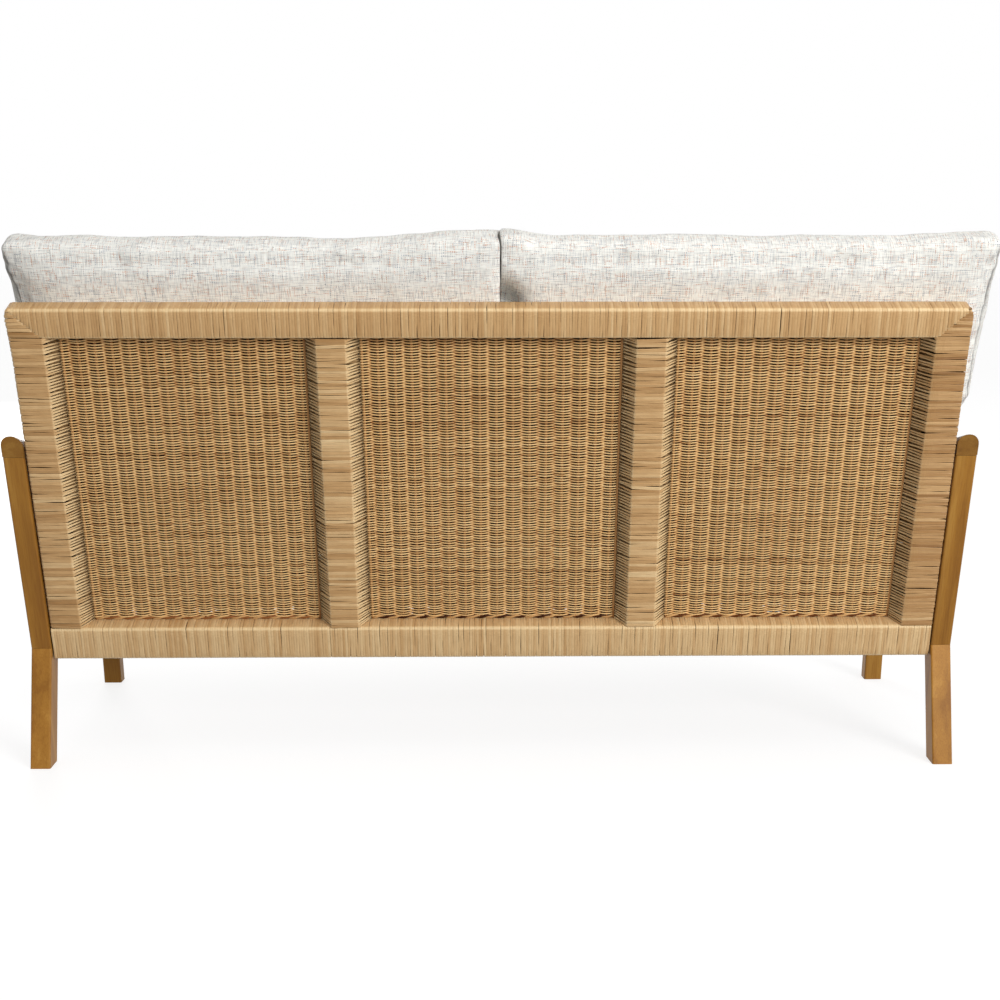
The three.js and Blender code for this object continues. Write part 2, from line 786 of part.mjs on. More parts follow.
const cleatRear = fitGap + cleatDepth;
const cleat = seatBlock(-railHalf, railHalf, cleatRear, fitGap, railTop - cleatFace, railTop);
add(seatFrame, 'front_cleat', cleat, hardwood);

const stretcher = seatBlock(
  -stretcherWidth / 2,
  stretcherWidth / 2,
  rearRailFront - fitGap,
  cleatRear + fitGap,
  railTop - stretcherFace,
  railTop
);
add(seatFrame, 'centre_stretcher', stretcher, hardwood);

// Slats run from the cleat to the rear rail, spread evenly between the side frames
const slatRear = seatYAt(backFrontY, backRake, -slatThickness) - fitGap;
const firstSlat = slatEdgeMargin + slatWidth / 2 - innerHalf;
for (let i = 0; i < slatCount; i += 1) {
  const centre = firstSlat * (1 - 2 * i / (slatCount - 1));
  const corners = rectangle(-slatWidth / 2, -slatThickness, slatWidth / 2, 0);
  const slat = prism(rounded(corners, edgeRadius), fitGap, slatRear, 'y');
  const mesh = add(seatFrame, `seat_slat_${String(i + 1).padStart(2, '0')}`, slat, timber);
  mesh.position.x = centre;
}

for (const { side, name } of sideFrames) {
  add(seatFrame, `bolt_front_rail_${name}`, bolt(side, frontRailBolt.x, frontRailBolt.y), steel);
  add(seatFrame, `bolt_rear_rail_${name}`, bolt(side, rearRailBolt.x, rearRailBolt.y), steel);
}

// Cushions: boxed covers with a crown, sides drawn in between the corners and a full border

const cushionColumns = 18;
const cushionRows = 14;
const cushionLayers = 4;
const crownPower = 4;
const edgeCrowdingPower = 1.5;

function crowded(share) {
  return Math.sign(share) * (1 - (1 - Math.abs(share)) ** edgeCrowdingPower);
}

// A cushion on its flat face, from X 0 to its width, Y 0 to its length, and Z up its thickness.
// The fall says how far the crown drops at the far end of its length.
function cushion(width, length, thickness, edgeShare, rearFall) {
  const geometry = new THREE.BoxGeometry(2, 2, 2, cushionColumns, cushionRows, cushionLayers);
  const { position } = geometry.attributes;
  const core = point(width / 2 - cushionCornerRadius, length / 2 - cushionCornerRadius);
  for (let i = 0; i < position.count; i += 1) {
    const a = crowded(position.getX(i));
    const b = crowded(position.getY(i));
    const c = position.getZ(i);
    const place = point(a * width / 2, b * length / 2);
    const past = point(Math.max(Math.abs(place.x) - core.x, 0), Math.max(Math.abs(place.y) - core.y, 0));
    const reach = Math.max(past.x, past.y);
    if (past.x > 0 && past.y > 0) {
      past.setLength(reach);
      place.set(Math.sign(place.x) * (core.x + past.x), Math.sign(place.y) * (core.y + past.y));
    }
    const bulge = cushionBorderBulge * c * c;
    const drawX = (cushionDrawIn * (1 - b * b) + bulge) * a ** 7;
    const drawY = (cushionDrawIn * (1 - a * a) + bulge) * b ** 7;
    const lengthFall = b > 0 ? rearFall : 1;
    const crown = (1 - Math.abs(a) ** crownPower) * (1 - lengthFall * Math.abs(b) ** crownPower);
    const height = thickness * (edgeShare + (1 - edgeShare) * crown) * (c + 1) / 2;
    position.setXYZ(i, width / 2 + place.x - drawX, length / 2 + place.y - drawY, height);
  }
  geometry.deleteAttribute('normal');
  geometry.deleteAttribute('uv');
  return BufferGeometryUtils.mergeVertices(geometry);
}

function reshaped(geometry, move) {
  const { position } = geometry.attributes;
  const vertex = new THREE.Vector3();
  for (let i = 0; i < position.count; i += 1) {
    move(vertex.fromBufferAttribute(position, i));
    position.setXYZ(i, vertex.x, vertex.y, vertex.z);
  }
  return geometry;
}

const cushionOuter = innerHalf - cushionSideClearance;
const seatCushionFront = -frontRailDepth - seatCushionOverhang;
const seatCushionRear = seatYAt(backFrontY, backRake, 0) - cushionSeat;
const seatCushionLength = seatCushionRear - seatCushionFront;
const seatCushionWidth = cushionOuter - cushionGap / 2;

for (const { side, name } of sideFrames) {
  const geometry = cushion(
    seatCushionWidth,
    seatCushionLength,
    seatCushionThickness,
    seatEdgeShare,
    seatRearFall
  );
  const left = side > 0 ? cushionGap / 2 : -cushionOuter;
  geometry.translate(left, seatCushionFront, cushionSeat);
  add(seatFrame, `seat_cushion_${name}`, geometry, fabric);
}

// Height up the back, at a depth in front of it, where the top of the seat cushions is met
function seatTopUpBack(depth) {
  const lean = backRake - seatSlope;
  const offset = backFrame.position.clone().sub(seatFrame.position);
  const alongSeat = offset.y * Math.sin(seatSlope) + offset.z * Math.cos(seatSlope);
  const top = seatCushionThickness + 2 * cushionSeat;
  return (top - alongSeat - depth * Math.sin(lean)) / Math.cos(lean);
}

function smooth(share) {
  const held = Math.min(Math.max(share, 0), 1);
  return held * held * (3 - 2 * held);
}

function backCushion(inner, reach) {
  const depth = backDepth + cushionSeat;
  const lowest = seatTopUpBack(depth);
  const length = backCushionTop - lowest;
  const width = cushionOuter - inner;
  const flat = cushion(width, length, backCushionThickness, backEdgeShare, backTopFall);
  return reshaped(flat, (vertex) => {
    const ahead = vertex.z;
    const foot = seatTopUpBack(depth + ahead) - lowest;
    const upShare = vertex.y / length;
    const up = lowest + vertex.y + foot * (1 - upShare);
    const widening = (reach - cushionOuter) * smooth(vertex.x / width);
    vertex.set(inner + vertex.x, -depth - ahead, up);
    const { y, z } = backFrame.localToWorld(vertex.clone());
    vertex.x += widening * smooth((z - armTop(y) - overhangClearance) / overhangRise);
  });
}

const leftBackCushion = backCushion(cushionGap / 2 - backSplit, leftCushionReach);
add(backFrame, 'back_cushion_left', facingOut(leftBackCushion), fabric);
const rightBackCushion = backCushion(backSplit + cushionGap / 2, rightCushionReach);
rightBackCushion.scale(-1, 1, 1);
add(backFrame, 'back_cushion_right', facingOut(rightBackCushion), fabric);

// The sofa stands on the floor, centred on its own outline
const outline = new THREE.Box3().setFromObject(sofa, true);
const middle = outline.getCenter(new THREE.Vector3());
sofa.position.set(-middle.x, -middle.y, -outline.min.z);

export default sofa;
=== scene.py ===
import math

import bmesh
import bpy
import numpy as np
from mathutils import Matrix, Vector


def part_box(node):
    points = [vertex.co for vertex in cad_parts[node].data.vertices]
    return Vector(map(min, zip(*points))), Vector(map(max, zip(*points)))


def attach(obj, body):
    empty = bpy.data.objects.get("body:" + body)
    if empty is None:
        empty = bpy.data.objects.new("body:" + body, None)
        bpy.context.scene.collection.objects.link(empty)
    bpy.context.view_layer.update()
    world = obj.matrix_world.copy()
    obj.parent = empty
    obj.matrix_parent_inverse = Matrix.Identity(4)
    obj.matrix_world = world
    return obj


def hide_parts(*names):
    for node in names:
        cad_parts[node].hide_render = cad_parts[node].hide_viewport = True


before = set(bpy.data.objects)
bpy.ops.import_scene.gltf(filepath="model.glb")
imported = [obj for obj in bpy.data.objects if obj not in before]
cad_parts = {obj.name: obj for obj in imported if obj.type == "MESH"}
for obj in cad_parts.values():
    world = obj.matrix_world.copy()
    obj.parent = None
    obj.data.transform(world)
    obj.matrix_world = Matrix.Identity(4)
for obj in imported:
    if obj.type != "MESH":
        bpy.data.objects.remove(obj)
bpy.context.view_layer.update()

mm = 0.001


# Side frames: legs, raked posts, side rails and armrests of oiled light hardwood.
# Each is sawn from one board with its grain along it, and the members are tenoned together.
# The solids already have the real outlines, so they keep them and get the timber's finish.

def linear(red, green, blue):
    """A screen colour, given from 0 to 255, as the shader takes it."""
    shares = [value / 255 for value in (red, green, blue)]
    return [s / 12.92 if s <= 0.04045 else ((s + 0.055) / 1.055) ** 2.4 for s in shares] + [1]


def grey(level):
    return [level, level, level, 1]


class Finish:
    """A material's node tree, with short calls for adding and joining its nodes."""

    def __init__(self, name):
        self.material = bpy.data.materials.new(name)
        self.material.use_nodes = True
        self.tree = self.material.node_tree
        self.shader = self.tree.nodes["Principled BSDF"]

    def add(self, kind, inputs=None, **settings):
        made = self.tree.nodes.new("ShaderNode" + kind)
        for name, value in settings.items():
            setattr(made, name, value)
        for name, value in (inputs or {}).items():
            self.put(value, made.inputs[name])
        return made

    def put(self, value, socket):
        if isinstance(value, bpy.types.NodeSocket):
            self.tree.links.new(value, socket)
        else:
            socket.default_value = value

    def math(self, operation, *values, clamp=False):
        made = self.tree.nodes.new("ShaderNodeMath")
        made.operation = operation
        made.use_clamp = clamp
        for value, socket in zip(values, made.inputs):
            self.put(value, socket)
        return made.outputs[0]

    def noise(self, vector, scale, detail=2, roughness=0.5):
        inputs = {"Vector": vector, "Scale": scale, "Detail": detail, "Roughness": roughness}
        return self.add("TexNoise", inputs).outputs["Fac"]

    def stretched(self, vector, scale, rotation=(0, 0, 0), location=(0, 0, 0)):
        inputs = {"Vector": vector, "Scale": scale, "Rotation": rotation, "Location": location}
        return self.add("Mapping", inputs).outputs["Vector"]

    def ramp(self, value, *stops):
        made = self.add("ValToRGB", {"Fac": value})
        elements = made.color_ramp.elements
        while len(elements) < len(stops):
            elements.new(1)
        for element, (place, colour) in zip(elements, stops):
            element.position = place
            element.color = colour
        return made.outputs["Color"]

    def mix(self, share, first, second, blend="MIX"):
        made = self.add("Mix", data_type="RGBA", blend_type=blend)
        self.put(share, made.inputs["Factor"])
        self.put(first, made.inputs["A"])
        self.put(second, made.inputs["B"])
        return made.outputs["Result"]

    def bump(self, height, distance, strength=1):
        inputs = {"Height": height, "Distance": distance, "Strength": strength}
        self.put(self.add("Bump", inputs).outputs["Normal"], self.shader.inputs["Normal"])

    def wear(self, **sockets):
        for name, value in sockets.items():
            self.put(value, self.shader.inputs[name.replace("_", " ")])
        return self.material


timber_light, timber_middle, timber_dark = linear(198, 146, 66), linear(182, 128, 50), linear(158, 106, 37)
board_figure = (34, 34, 1.6)
board_pores = (620, 620, 26)
board_clouds = (9, 9, 2.4)
board_shift = 0.37, 0.61
rings_per_figure = 5.5
late_wood = [0.86, 0.8, 0.72, 1]
ring_edge = [0.95, 0.92, 0.88, 1]
late_wood_share = 0.55
cloud_dark = [0.9, 0.88, 0.84, 1]
cloud_light = [1.06, 1.05, 1.03, 1]
pore_dark = [0.84, 0.78, 0.7, 1]
pore_share = 0.6
oil_roughness = 0.38
oil_roughness_spread = 0.16
oil_gloss = 0.25
grain_height = 0.2 * mm


def timber_finish(name, lean, piece_number, upright, tone=1):
    """Straight-grained oiled hardwood whose grain follows a member that leans about the X axis."""
    finish = Finish(name)
    place = finish.add("TexCoord").outputs["Object"]
    turn = lean if upright else lean + math.pi / 2
    shift = [share * piece_number for share in board_shift]
    across = finish.stretched(place, (1, 1, 1), (turn, 0, 0), (*shift, 0))
    board = finish.stretched(across, board_figure)
    figure = finish.noise(board, 1, 4, 0.62)
    rings = finish.math("FRACT", finish.math("MULTIPLY", figure, rings_per_figure))
    fleck = finish.noise(finish.stretched(across, board_pores), 1, 2)
    cloud = finish.noise(finish.stretched(across, board_clouds), 1, 3)
    colour = finish.ramp(figure, (0.32, timber_dark), (0.5, timber_middle), (0.68, timber_light))
    late = finish.ramp(rings, (0.0, late_wood), (0.35, grey(1)), (1.0, ring_edge))
    colour = finish.mix(late_wood_share, colour, late, "MULTIPLY")
    shade = finish.ramp(cloud, (0.3, cloud_dark), (0.7, cloud_light))
    colour = finish.mix(1, colour, shade, "MULTIPLY")
    # The tone darkens the member as a whole. It is painted shade for members that face down or away from the
    # light.
    colour = finish.mix(1, colour, grey(tone), "MULTIPLY")
    pores = finish.ramp(fleck, (0.42, pore_dark), (0.52, grey(1)))
    colour = finish.mix(pore_share, colour, pores, "MULTIPLY")
    rough = finish.math("MULTIPLY_ADD", fleck, oil_roughness_spread, oil_roughness)
    finish.bump(finish.math("ADD", fleck, finish.math("MULTIPLY", figure, 0.4)), grain_height, 0.5)
    return finish.wear(Base_Color=colour, Roughness=rough, Specular_IOR_Level=oil_gloss)


back_rake = math.radians(18.3)
leg_splay = math.radians(11.8)
front_lean = math.radians(10)
seat_slope = math.radians(4)


def dress(node, material):
    """Gives a solid that keeps its shape its finish."""
    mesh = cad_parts[node].data
    mesh.materials.clear()
    mesh.materials.append(material)


# The last number of each member is its tone. It is painted shade, deepest on the armrests, then on the front
# legs and raked posts.
side_members = [
    ("rear_leg", leg_splay, True, 0.83),
    ("rear_post", back_rake, True, 0.72),
    ("front_leg", front_lean, True, 0.7),
    ("side_rail", seat_slope, False, 0.79),
    ("armrest", -seat_slope, False, 0.52),
]
for number, (member, lean, upright, tone) in enumerate(side_members):
    for side_number, side in enumerate(("left", "right")):
        piece_number = 2 * number + side_number + 1
        finish = timber_finish(f"timber_{member}_{side}", lean, piece_number, upright, tone)
        dress(f"{member}_{side}", finish)


# Hidden hardwood: the cores of the wrapped members, painted near-black as the shade that falls between the
# turns, and the planed rear seat rail, cleat and stretcher of the seat deck.

def planed_finish(name, upright, dark, light):
    finish = Finish(name)
    place = finish.add("TexCoord").outputs["Object"]
    scale = (30, 30, 2) if upright else (2, 30, 30)
    figure = finish.noise(finish.stretched(place, scale), 1, 4, 0.6)
    colour = finish.ramp(figure, (0.35, dark), (0.65, light))
    finish.bump(figure, grain_height, 0.4)
    return finish.wear(Base_Color=colour, Roughness=0.8, Specular_IOR_Level=0.1)


# Painted shade: the cores are near-black so that the gaps between the turns read as shadow.
gap_shade_colours = linear(20, 11, 5), linear(28, 16, 8)
bare = linear(118, 82, 48), linear(150, 110, 68)
upright_hardwood = planed_finish("gap_shade_upright", True, *gap_shade_colours)
level_hardwood = planed_finish("gap_shade_level", False, *gap_shade_colours)
bare_hardwood = planed_finish("planed_level", False, *bare)
for member in ("stile", "mullion"):
    for side in ("left", "right"):
        dress(f"back_{member}_{side}_core", upright_hardwood)
for node in ("back_top_core", "back_bottom_core", "front_rail_core"):
    dress(node, level_hardwood)
for node in ("rear_seat_rail", "front_cleat", "centre_stretcher"):
    dress(node, bare_hardwood)


# Cane wraps on the back frame: each rail, stile and mullion is wound with flat split cane,
# turn against turn, with a mitre at the top corners. The flanks beside the panels flare, and
# there the turns stand apart. Every turn is its own flat strand round the member's section.

foot_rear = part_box("rear_leg_left")[1].y
back_foot_setback = 54.44 * mm
back_foot_height = 192 * mm
back_foot = Vector((0, foot_rear - back_foot_setback, back_foot_height))
back_place = Matrix.Translation(back_foot) @ Matrix.Rotation(-back_rake, 4, "X")
back_height = 690 * mm
back_depth = 40 * mm
back_half = 810.5 * mm
corner_radius = 15 * mm
corner_bulge = {1: 5 * mm, -1: 1.5 * mm}
bulge_run = 110 * mm
least_turn = 1 * mm
top_rail_face = 54 * mm
bottom_rail_face = 66.5 * mm
stile_face = 57 * mm
stile_flare = 19 * mm
mullion_face = 52 * mm
mullion_flare = 21 * mm
mullion_centre = 271.5 * mm
panel_recess = 32 * mm
rail_pitch = 4.7 * mm
upright_pitch = 5.8 * mm
strand_thickness = 2.2 * mm
edge_radius = 6 * mm
inner_edge_radius = 3 * mm
rail_section = np.array([(-0.5, 0), (-0.5, 0.88), (-0.41, 1), (0.41, 1), (0.5, 0.88), (0.5, 0)])
upright_section = np.array([
    (-0.5, 0), (-0.5, 0.78), (-0.4, 1), (-0.08, 1), (0, 0.84), (0.08, 1), (0.4, 1), (0.5, 0.78), (0.5, 0),
])
strand_tilt = 0.1
strand_slant = 0.7 * mm
flank_width_share = 0.46
flank_droop = 5 * mm
droop_run = 36 * mm
top_rail_low = back_height - top_rail_face
stile_inner = back_half - stile_face


def on_back(points):
    """Places points given across, up and into the back frame, from its rear face."""
    across, up, depth = np.asarray(points).T
    local = np.stack([across, -depth, up, np.ones_like(up)])
    return (np.array(back_place) @ local)[:3].T


nearly_straight = 0.01
arc_points = 4


def rounded_loop(corners, radii, step):
    """Points and outward directions round an anticlockwise section, with a point every step."""
    points, outward = [], []
    count = len(corners)
    ends = []
    for i, (corner, radius) in enumerate(zip(corners, radii)):
        corner = np.array(corner, float)
        before = np.array(corners[i - 1], float) - corner
        after = np.array(corners[(i + 1) % count], float) - corner
        before /= np.linalg.norm(before)
        after /= np.linalg.norm(after)
        half = math.acos(np.clip(before @ after, -1, 1)) / 2
        if math.pi / 2 - half < nearly_straight:
            continue
        inward = (before + after) / np.linalg.norm(before + after)
        centre = corner + inward * radius / math.sin(half)
        first = math.atan2(*(corner + before * radius / math.tan(half) - centre)[::-1])
        sweep = math.pi - 2 * half
        turns = [first + sweep * share for share in np.linspace(0, 1, arc_points)]
        ways = [(math.cos(angle), math.sin(angle)) for angle in turns]
        ends.append([(centre + radius * np.array(way), way) for way in ways])
    for i, arc in enumerate(ends):
        following = ends[(i + 1) % len(ends)][0][0]
        points += [place for place, _ in arc]
        outward += [way for _, way in arc]
        gap = following - arc[-1][0]
        parts = int(np.linalg.norm(gap) / step)
        for k in range(1, parts):
            points.append(arc[-1][0] + gap * k / parts)
            outward.append(arc[-1][1])
    return np.array(points), np.array(outward)


def stand(name, data):
    """Stands a mesh, lamp or camera in the scene."""
    made = bpy.data.objects.new(name, data)
    bpy.context.scene.collection.objects.link(made)
    return made


def distance_along(points):
    steps = np.linalg.norm(np.diff(points, axis=0), axis=1)
    return np.concatenate([[0], np.cumsum(steps)])


class Strands:
    """Collects strands of one piece and turns them into one mesh."""

    def __init__(self):
        self.points, self.faces, self.notes, self.count = [], [], [], 0

    def lay(self, path, outward, sideways, width, thickness, tone, closed, section):
        """Lays one strand along a path, its flat side down and its back facing outward.

        The tone is one for the strand, one for each point of the path, or one for each corner too.
        """
        n, k = len(path), len(section)
        wide = np.broadcast_to(width, n)[:, None, None]
        thick = np.broadcast_to(thickness, n)[:, None, None]
        beside = section[None, :, :1] * wide * sideways[:, None]
        above = section[None, :, 1:] * thick * outward[:, None]
        points = (path[:, None] + beside + above).reshape(-1, 3)
        ring = np.arange(n if closed else n - 1)[:, None]
        around = np.arange(k)[None]
        a = ring * k + around
        b = ring * k + (around + 1) % k
        c = (ring + 1) % n * k + (around + 1) % k
        d = (ring + 1) % n * k + around
        faces = (np.stack([a, d, c, b], -1).reshape(-1, 4) + self.count).tolist()
        if not closed:
            faces.append([self.count + i for i in range(k)])
            faces.append([self.count + (n - 1) * k + i for i in reversed(range(k))])
        if np.cross(path[1] - path[0], sideways[0]) @ outward[0] < 0:
            faces = [face[::-1] for face in faces]
        self.faces += faces
        toned = np.reshape(tone, (n, 1)) if np.ndim(tone) == 1 else tone
        note = np.stack([
            np.repeat(distance_along(path), k),
            np.tile(section[:, 0] * np.mean(width), n),
            np.broadcast_to(toned, (n, k)).ravel(),
        ], -1)
        self.points.append(points)
        self.notes.append(note)
        self.count += n * k

    def piece(self, name, material):
        mesh = bpy.data.meshes.new(name)
        mesh.from_pydata(np.concatenate(self.points).tolist(), [], self.faces)
        mesh.update()
        notes = mesh.attributes.new("strand", "FLOAT_VECTOR", "POINT")
        notes.data.foreach_set("vector", np.concatenate(self.notes).astype(np.float32).ravel())
        mesh.polygons.foreach_set("use_smooth", [True] * len(mesh.polygons))
        mesh.materials.append(material)
        return stand(name, mesh)


cane_streaks = (26, 2600, 41)
cane_blotches = (34, 60, 33)
streak_dark, streak_light = [0.82, 0.76, 0.68, 1], [1.04, 1.03, 1.0, 1]
blotch_dark, blotch_light = [0.84, 0.78, 0.7, 1], [1.05, 1.04, 1.02, 1]
streak_share = 0.55
blotch_share = 0.6
skin_roughness = 0.34
skin_roughness_spread = 0.2
skin_coat_roughness = 0.35
strand_shift = 7.3


def cane_finish(name, light, middle, dark, deep, gloss):
    """Split cane: glossy skin with fine streaks along each strand and a tone of its own per strand."""
    finish = Finish(name)
    note = finish.add("Attribute", attribute_name="strand").outputs["Vector"]
    parts = finish.add("SeparateXYZ", {"Vector": note})
    along, across, tone = parts.outputs["X"], parts.outputs["Y"], parts.outputs["Z"]
    shifted = finish.math("MULTIPLY_ADD", tone, strand_shift, along)
    streak_place = finish.add("CombineXYZ", {"X": shifted, "Y": across, "Z": tone}).outputs["Vector"]
    streak = finish.noise(finish.stretched(streak_place, cane_streaks), 1, 3, 0.6)
    blotch = finish.noise(finish.stretched(streak_place, cane_blotches), 1, 3, 0.6)
    level = finish.math("MULTIPLY_ADD", tone, 0.5, 0.25)
    colour = finish.ramp(level, (0.1, deep), (0.25, dark), (0.5, middle), (0.75, light))
    streaks = finish.ramp(streak, (0.3, streak_dark), (0.6, streak_light))
    colour = finish.mix(streak_share, colour, streaks, "MULTIPLY")
    blotches = finish.ramp(blotch, (0.3, blotch_dark), (0.62, blotch_light))
    colour = finish.mix(blotch_share, colour, blotches, "MULTIPLY")
    rough = finish.math("MULTIPLY_ADD", streak, skin_roughness_spread, skin_roughness)
    finish.bump(streak, grain_height, 0.35)
    return finish.wear(Base_Color=colour, Roughness=rough, Specular_IOR_Level=gloss, Coat_Weight=gloss / 2,
                       Coat_Roughness=skin_coat_roughness)


cane = cane_finish("cane_wrap", linear(229, 202, 157), linear(200, 163, 115), linear(165, 124, 76),
                   linear(112, 76, 40), 0.25)
strand_seed = 11
random = np.random.default_rng(strand_seed)


def wavering(length, amount):
    """Small smooth sideways drift of a hand-wound turn along its length."""
    share = length / length[-1] * 2 * math.pi
    phases = random.uniform(0, 2 * math.pi, 3)
    sizes = random.normal(0, amount, 3) / np.array([1, 1.6, 2.4])
    waves = [size * np.sin((k + 1) * share + phase) for k, (size, phase) in enumerate(zip(sizes, phases))]
    return np.sum(waves, 0)


turn_width_share = 0.88, 1.12


def turn_widths(run, pitch):
    """Widths of turns that together fill a run, each a little different."""
    count = int(round(run / pitch))
    widths = random.uniform(*turn_width_share, count)
    return widths * run / widths.sum()


usual_tone_spread = 0.13


def strand_tone(spread=usual_tone_spread):
    """A strand's tone, from 0 for the darkest cane to 1 for the palest."""
    return float(np.clip(random.normal(0.5, spread), 0, 1))


fitted_radius_parts = 2.3
# Painted highlight on the cane's edges: how much paler the turns are where they bend.
painted_highlight_paleness = 0.42
least_bend = 0.3
widest_slack_turn = 0.94
snug_turn_share = 1.01, 1.05


def fitted(radii, corners):
    """Edge radii that still fit where a section narrows towards a mitre."""
    reach = min(np.ptp([x for x, _ in corners]), np.ptp([y for _, y in corners]))
    return [min(radius, reach / fitted_radius_parts) for radius in radii]


def painted_edge_highlight(outward):
    """Painted highlight: cane is made paler where it bends over an edge, standing in for the gloss that
    catches the light there.
    """
    return painted_highlight_paleness * (np.abs(outward).min(1) > least_bend)


def slack(rarity, narrowest):
    """A few turns are narrower than their room and leave a dark line beside them."""
    if random.random() < rarity:
        return random.uniform(narrowest, widest_slack_turn)
    return random.uniform(*snug_turn_share)


turn_step = 12 * mm
upright_slack = 0.16, 0.84
upright_drift = 0.5 * mm
upright_tone_spread = 0.16
upright_highlight_share = 0.5
upright_thickness_share = 0.85, 1.05
flank_thinning = 0.3
flank_start = 6 * mm
flank_facing = 0.8


def wind_upright(strands, section, radii, low, high, flank_end, shade):
    """Winds a stile or mullion from low to high.

    The section gives its outline at each height. Its flanks lie nearer the middle than the flank end.
    """
    height = low
    for width in turn_widths(high - low, upright_pitch):
        middle = height + width / 2
        height += width
        corners = section(middle)
        if corners is None:
            continue
        points, outward = rounded_loop(corners, fitted(radii, corners), turn_step)
        across, depth = points.T
        beside_panel = (np.abs(outward[:, 1]) < flank_facing) * (np.abs(across) < flank_end)
        on_flank = np.clip(depth / flank_start, 0, 1) * beside_panel
        narrowing = 1 - (1 - flank_width_share) * on_flank
        wide = width * np.where(on_flank > 0, narrowing, slack(*upright_slack))
        thick = strand_thickness * random.uniform(*upright_thickness_share) * (1 - flank_thinning * on_flank)
        base = points - outward * strand_thickness
        drift = wavering(distance_along(points), upright_drift)
        fall = flank_droop * np.clip((middle - low) / droop_run, 0, 1) * np.clip(depth / panel_recess, 0, 1)
        from_middle = (across - across.mean()) / (np.ptp(across) / 2)
        slant = random.normal(0, strand_slant) * from_middle
        path = np.stack([base[:, 0], middle + drift + slant - fall, base[:, 1]], -1)
        away = np.stack([outward[:, 0], np.zeros(len(points)), outward[:, 1]], -1)
        tilt = random.normal(0, strand_tilt)
        sideways = np.array((0, math.cos(tilt), 0)) + away * math.sin(tilt)
        # Each turn's tone carries the painted edge highlight and, on the flanks, painted light.
        tones = strand_tone(upright_tone_spread) + shade + upright_highlight_share * painted_edge_highlight(outward)
        tones = tones + flank_painted_light * on_flank
        strands.lay(on_back(path), turned(away), turned(sideways), wide, thick, tones, True, upright_section)


def turned(directions):
    """Turns directions given across, up and into the back frame into the sofa's own axes."""
    across, up, depth = np.asarray(directions, float).T
    local = np.stack([across, -depth, up])
    return (np.array(back_place.to_3x3()) @ local).T


leftwards, upwards, rearwards = (turned([way]) for way in ((1, 0, 0), (0, 1, 0), (0, 0, -1)))


def flared(left, right, left_flare, right_flare):
    return [
        (left, 0),
        (right, 0),
        (right + right_flare, panel_recess),
        (right + right_flare, back_depth),
        (left - left_flare, back_depth),
        (left - left_flare, panel_recess),
    ]


flare_bend_radius = 0.5 * mm
upright_radii = [edge_radius, edge_radius, flare_bend_radius, inner_edge_radius, inner_edge_radius,
                 flare_bend_radius]
mitre_slope = stile_face / top_rail_face
mitre_lap = 3 * mm
# Painted light: flank turns are made paler, standing in for the light that catches the turns standing apart
# beside the panels.
flank_painted_light = 0.5
stile_shade = {1: -0.06, -1: -0.3}


def corner_drop(from_end):
    """How far a rounded outer corner falls back at a distance from the frame's end."""
    inside = max(corner_radius - from_end, 0)
    return corner_radius - math.sqrt(max(corner_radius ** 2 - inside ** 2, 0))


def stile_section(side):
    def section(height):
        bulge = corner_bulge[side] * max(1 - (back_height - height) / bulge_run, 0) ** 1.5
        outer = back_half + bulge - corner_drop(back_height - height)
        inner = stile_inner
        flare = stile_flare
        if height > top_rail_low:
            inner = stile_inner + (height - top_rail_low) * mitre_slope - mitre_lap
            flare = 0
            if outer - inner < least_turn:
                return None
        corners = flared(inner, outer, flare, 0)
        return corners if side > 0 else [(-x, y) for x, y in reversed(corners[1:] + corners[:1])]
    return section


def mullion_section(side):
    left = side * mullion_centre - mullion_face / 2
    corners = flared(left, left + mullion_face, mullion_flare, mullion_flare)
    return lambda height: corners


sides = {"left": 1, "right": -1}
for side_name, side in sides.items():
    uprights = [
        ("stile", stile_section(side), back_height, stile_inner + edge_radius, stile_shade[side]),
        ("mullion", mullion_section(side), top_rail_low, back_half, 0),
    ]
    for member, section, high, flank_end, shade in uprights:
        strands = Strands()
        wind_upright(strands, section, upright_radii, bottom_rail_face, high, flank_end, shade)
        piece = strands.piece(f"{member}_strands_{side_name}", cane)
        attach(piece, "frame")
        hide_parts(f"back_{member}_{side_name}_wrap")


rail_slack = 0.012, 0.9
rail_drift = 0.35 * mm
rail_tone_spread = 0.1
rail_thinning = 0.06


def wind_rail(strands, low_at, high_at, left, right, place, turn, shade):
    """Winds a level rail from left to right, between a lowest and a highest edge at each turn."""
    across = left
    for width in turn_widths(right - left, rail_pitch):
        middle = across + width / 2
        across += width
        low, high = low_at(middle), high_at(middle)
        if high - low < least_turn:
            continue
        corners = [(high, 0), (high, back_depth), (low, back_depth), (low, 0)]
        points, outward = rounded_loop(corners, fitted([edge_radius] * len(corners), corners), turn_step)
        base = points - outward * strand_thickness
        drift = wavering(distance_along(points), rail_drift)
        path = np.stack([middle + drift, base[:, 0], base[:, 1]], -1)
        away = np.stack([np.zeros(len(points)), outward[:, 0], outward[:, 1]], -1)
        thick = strand_thickness * (1 - rail_thinning * random.random())
        # Each turn's tone carries the painted edge highlight.
        tones = strand_tone(rail_tone_spread) + shade + painted_edge_highlight(outward)
        wide = width * slack(*rail_slack)
        strands.lay(place(path), turn(away), turn([(1, 0, 0)]), wide, thick, tones, True, rail_section)


def top_rail_low_at(across):
    past = max(abs(across) - stile_inner, 0)
    return top_rail_low + past / mitre_slope - (mitre_lap if past > 0 else 0)


top_rail = Strands()
right_end, left_end = -back_half - corner_bulge[-1], back_half + corner_bulge[1]


def top_rail_high_at(across):
    return back_height - corner_drop(min(across - right_end, left_end - across))


wind_rail(top_rail, top_rail_low_at, top_rail_high_at, right_end, left_end, on_back, turned, 0)
bottom_rail = Strands()
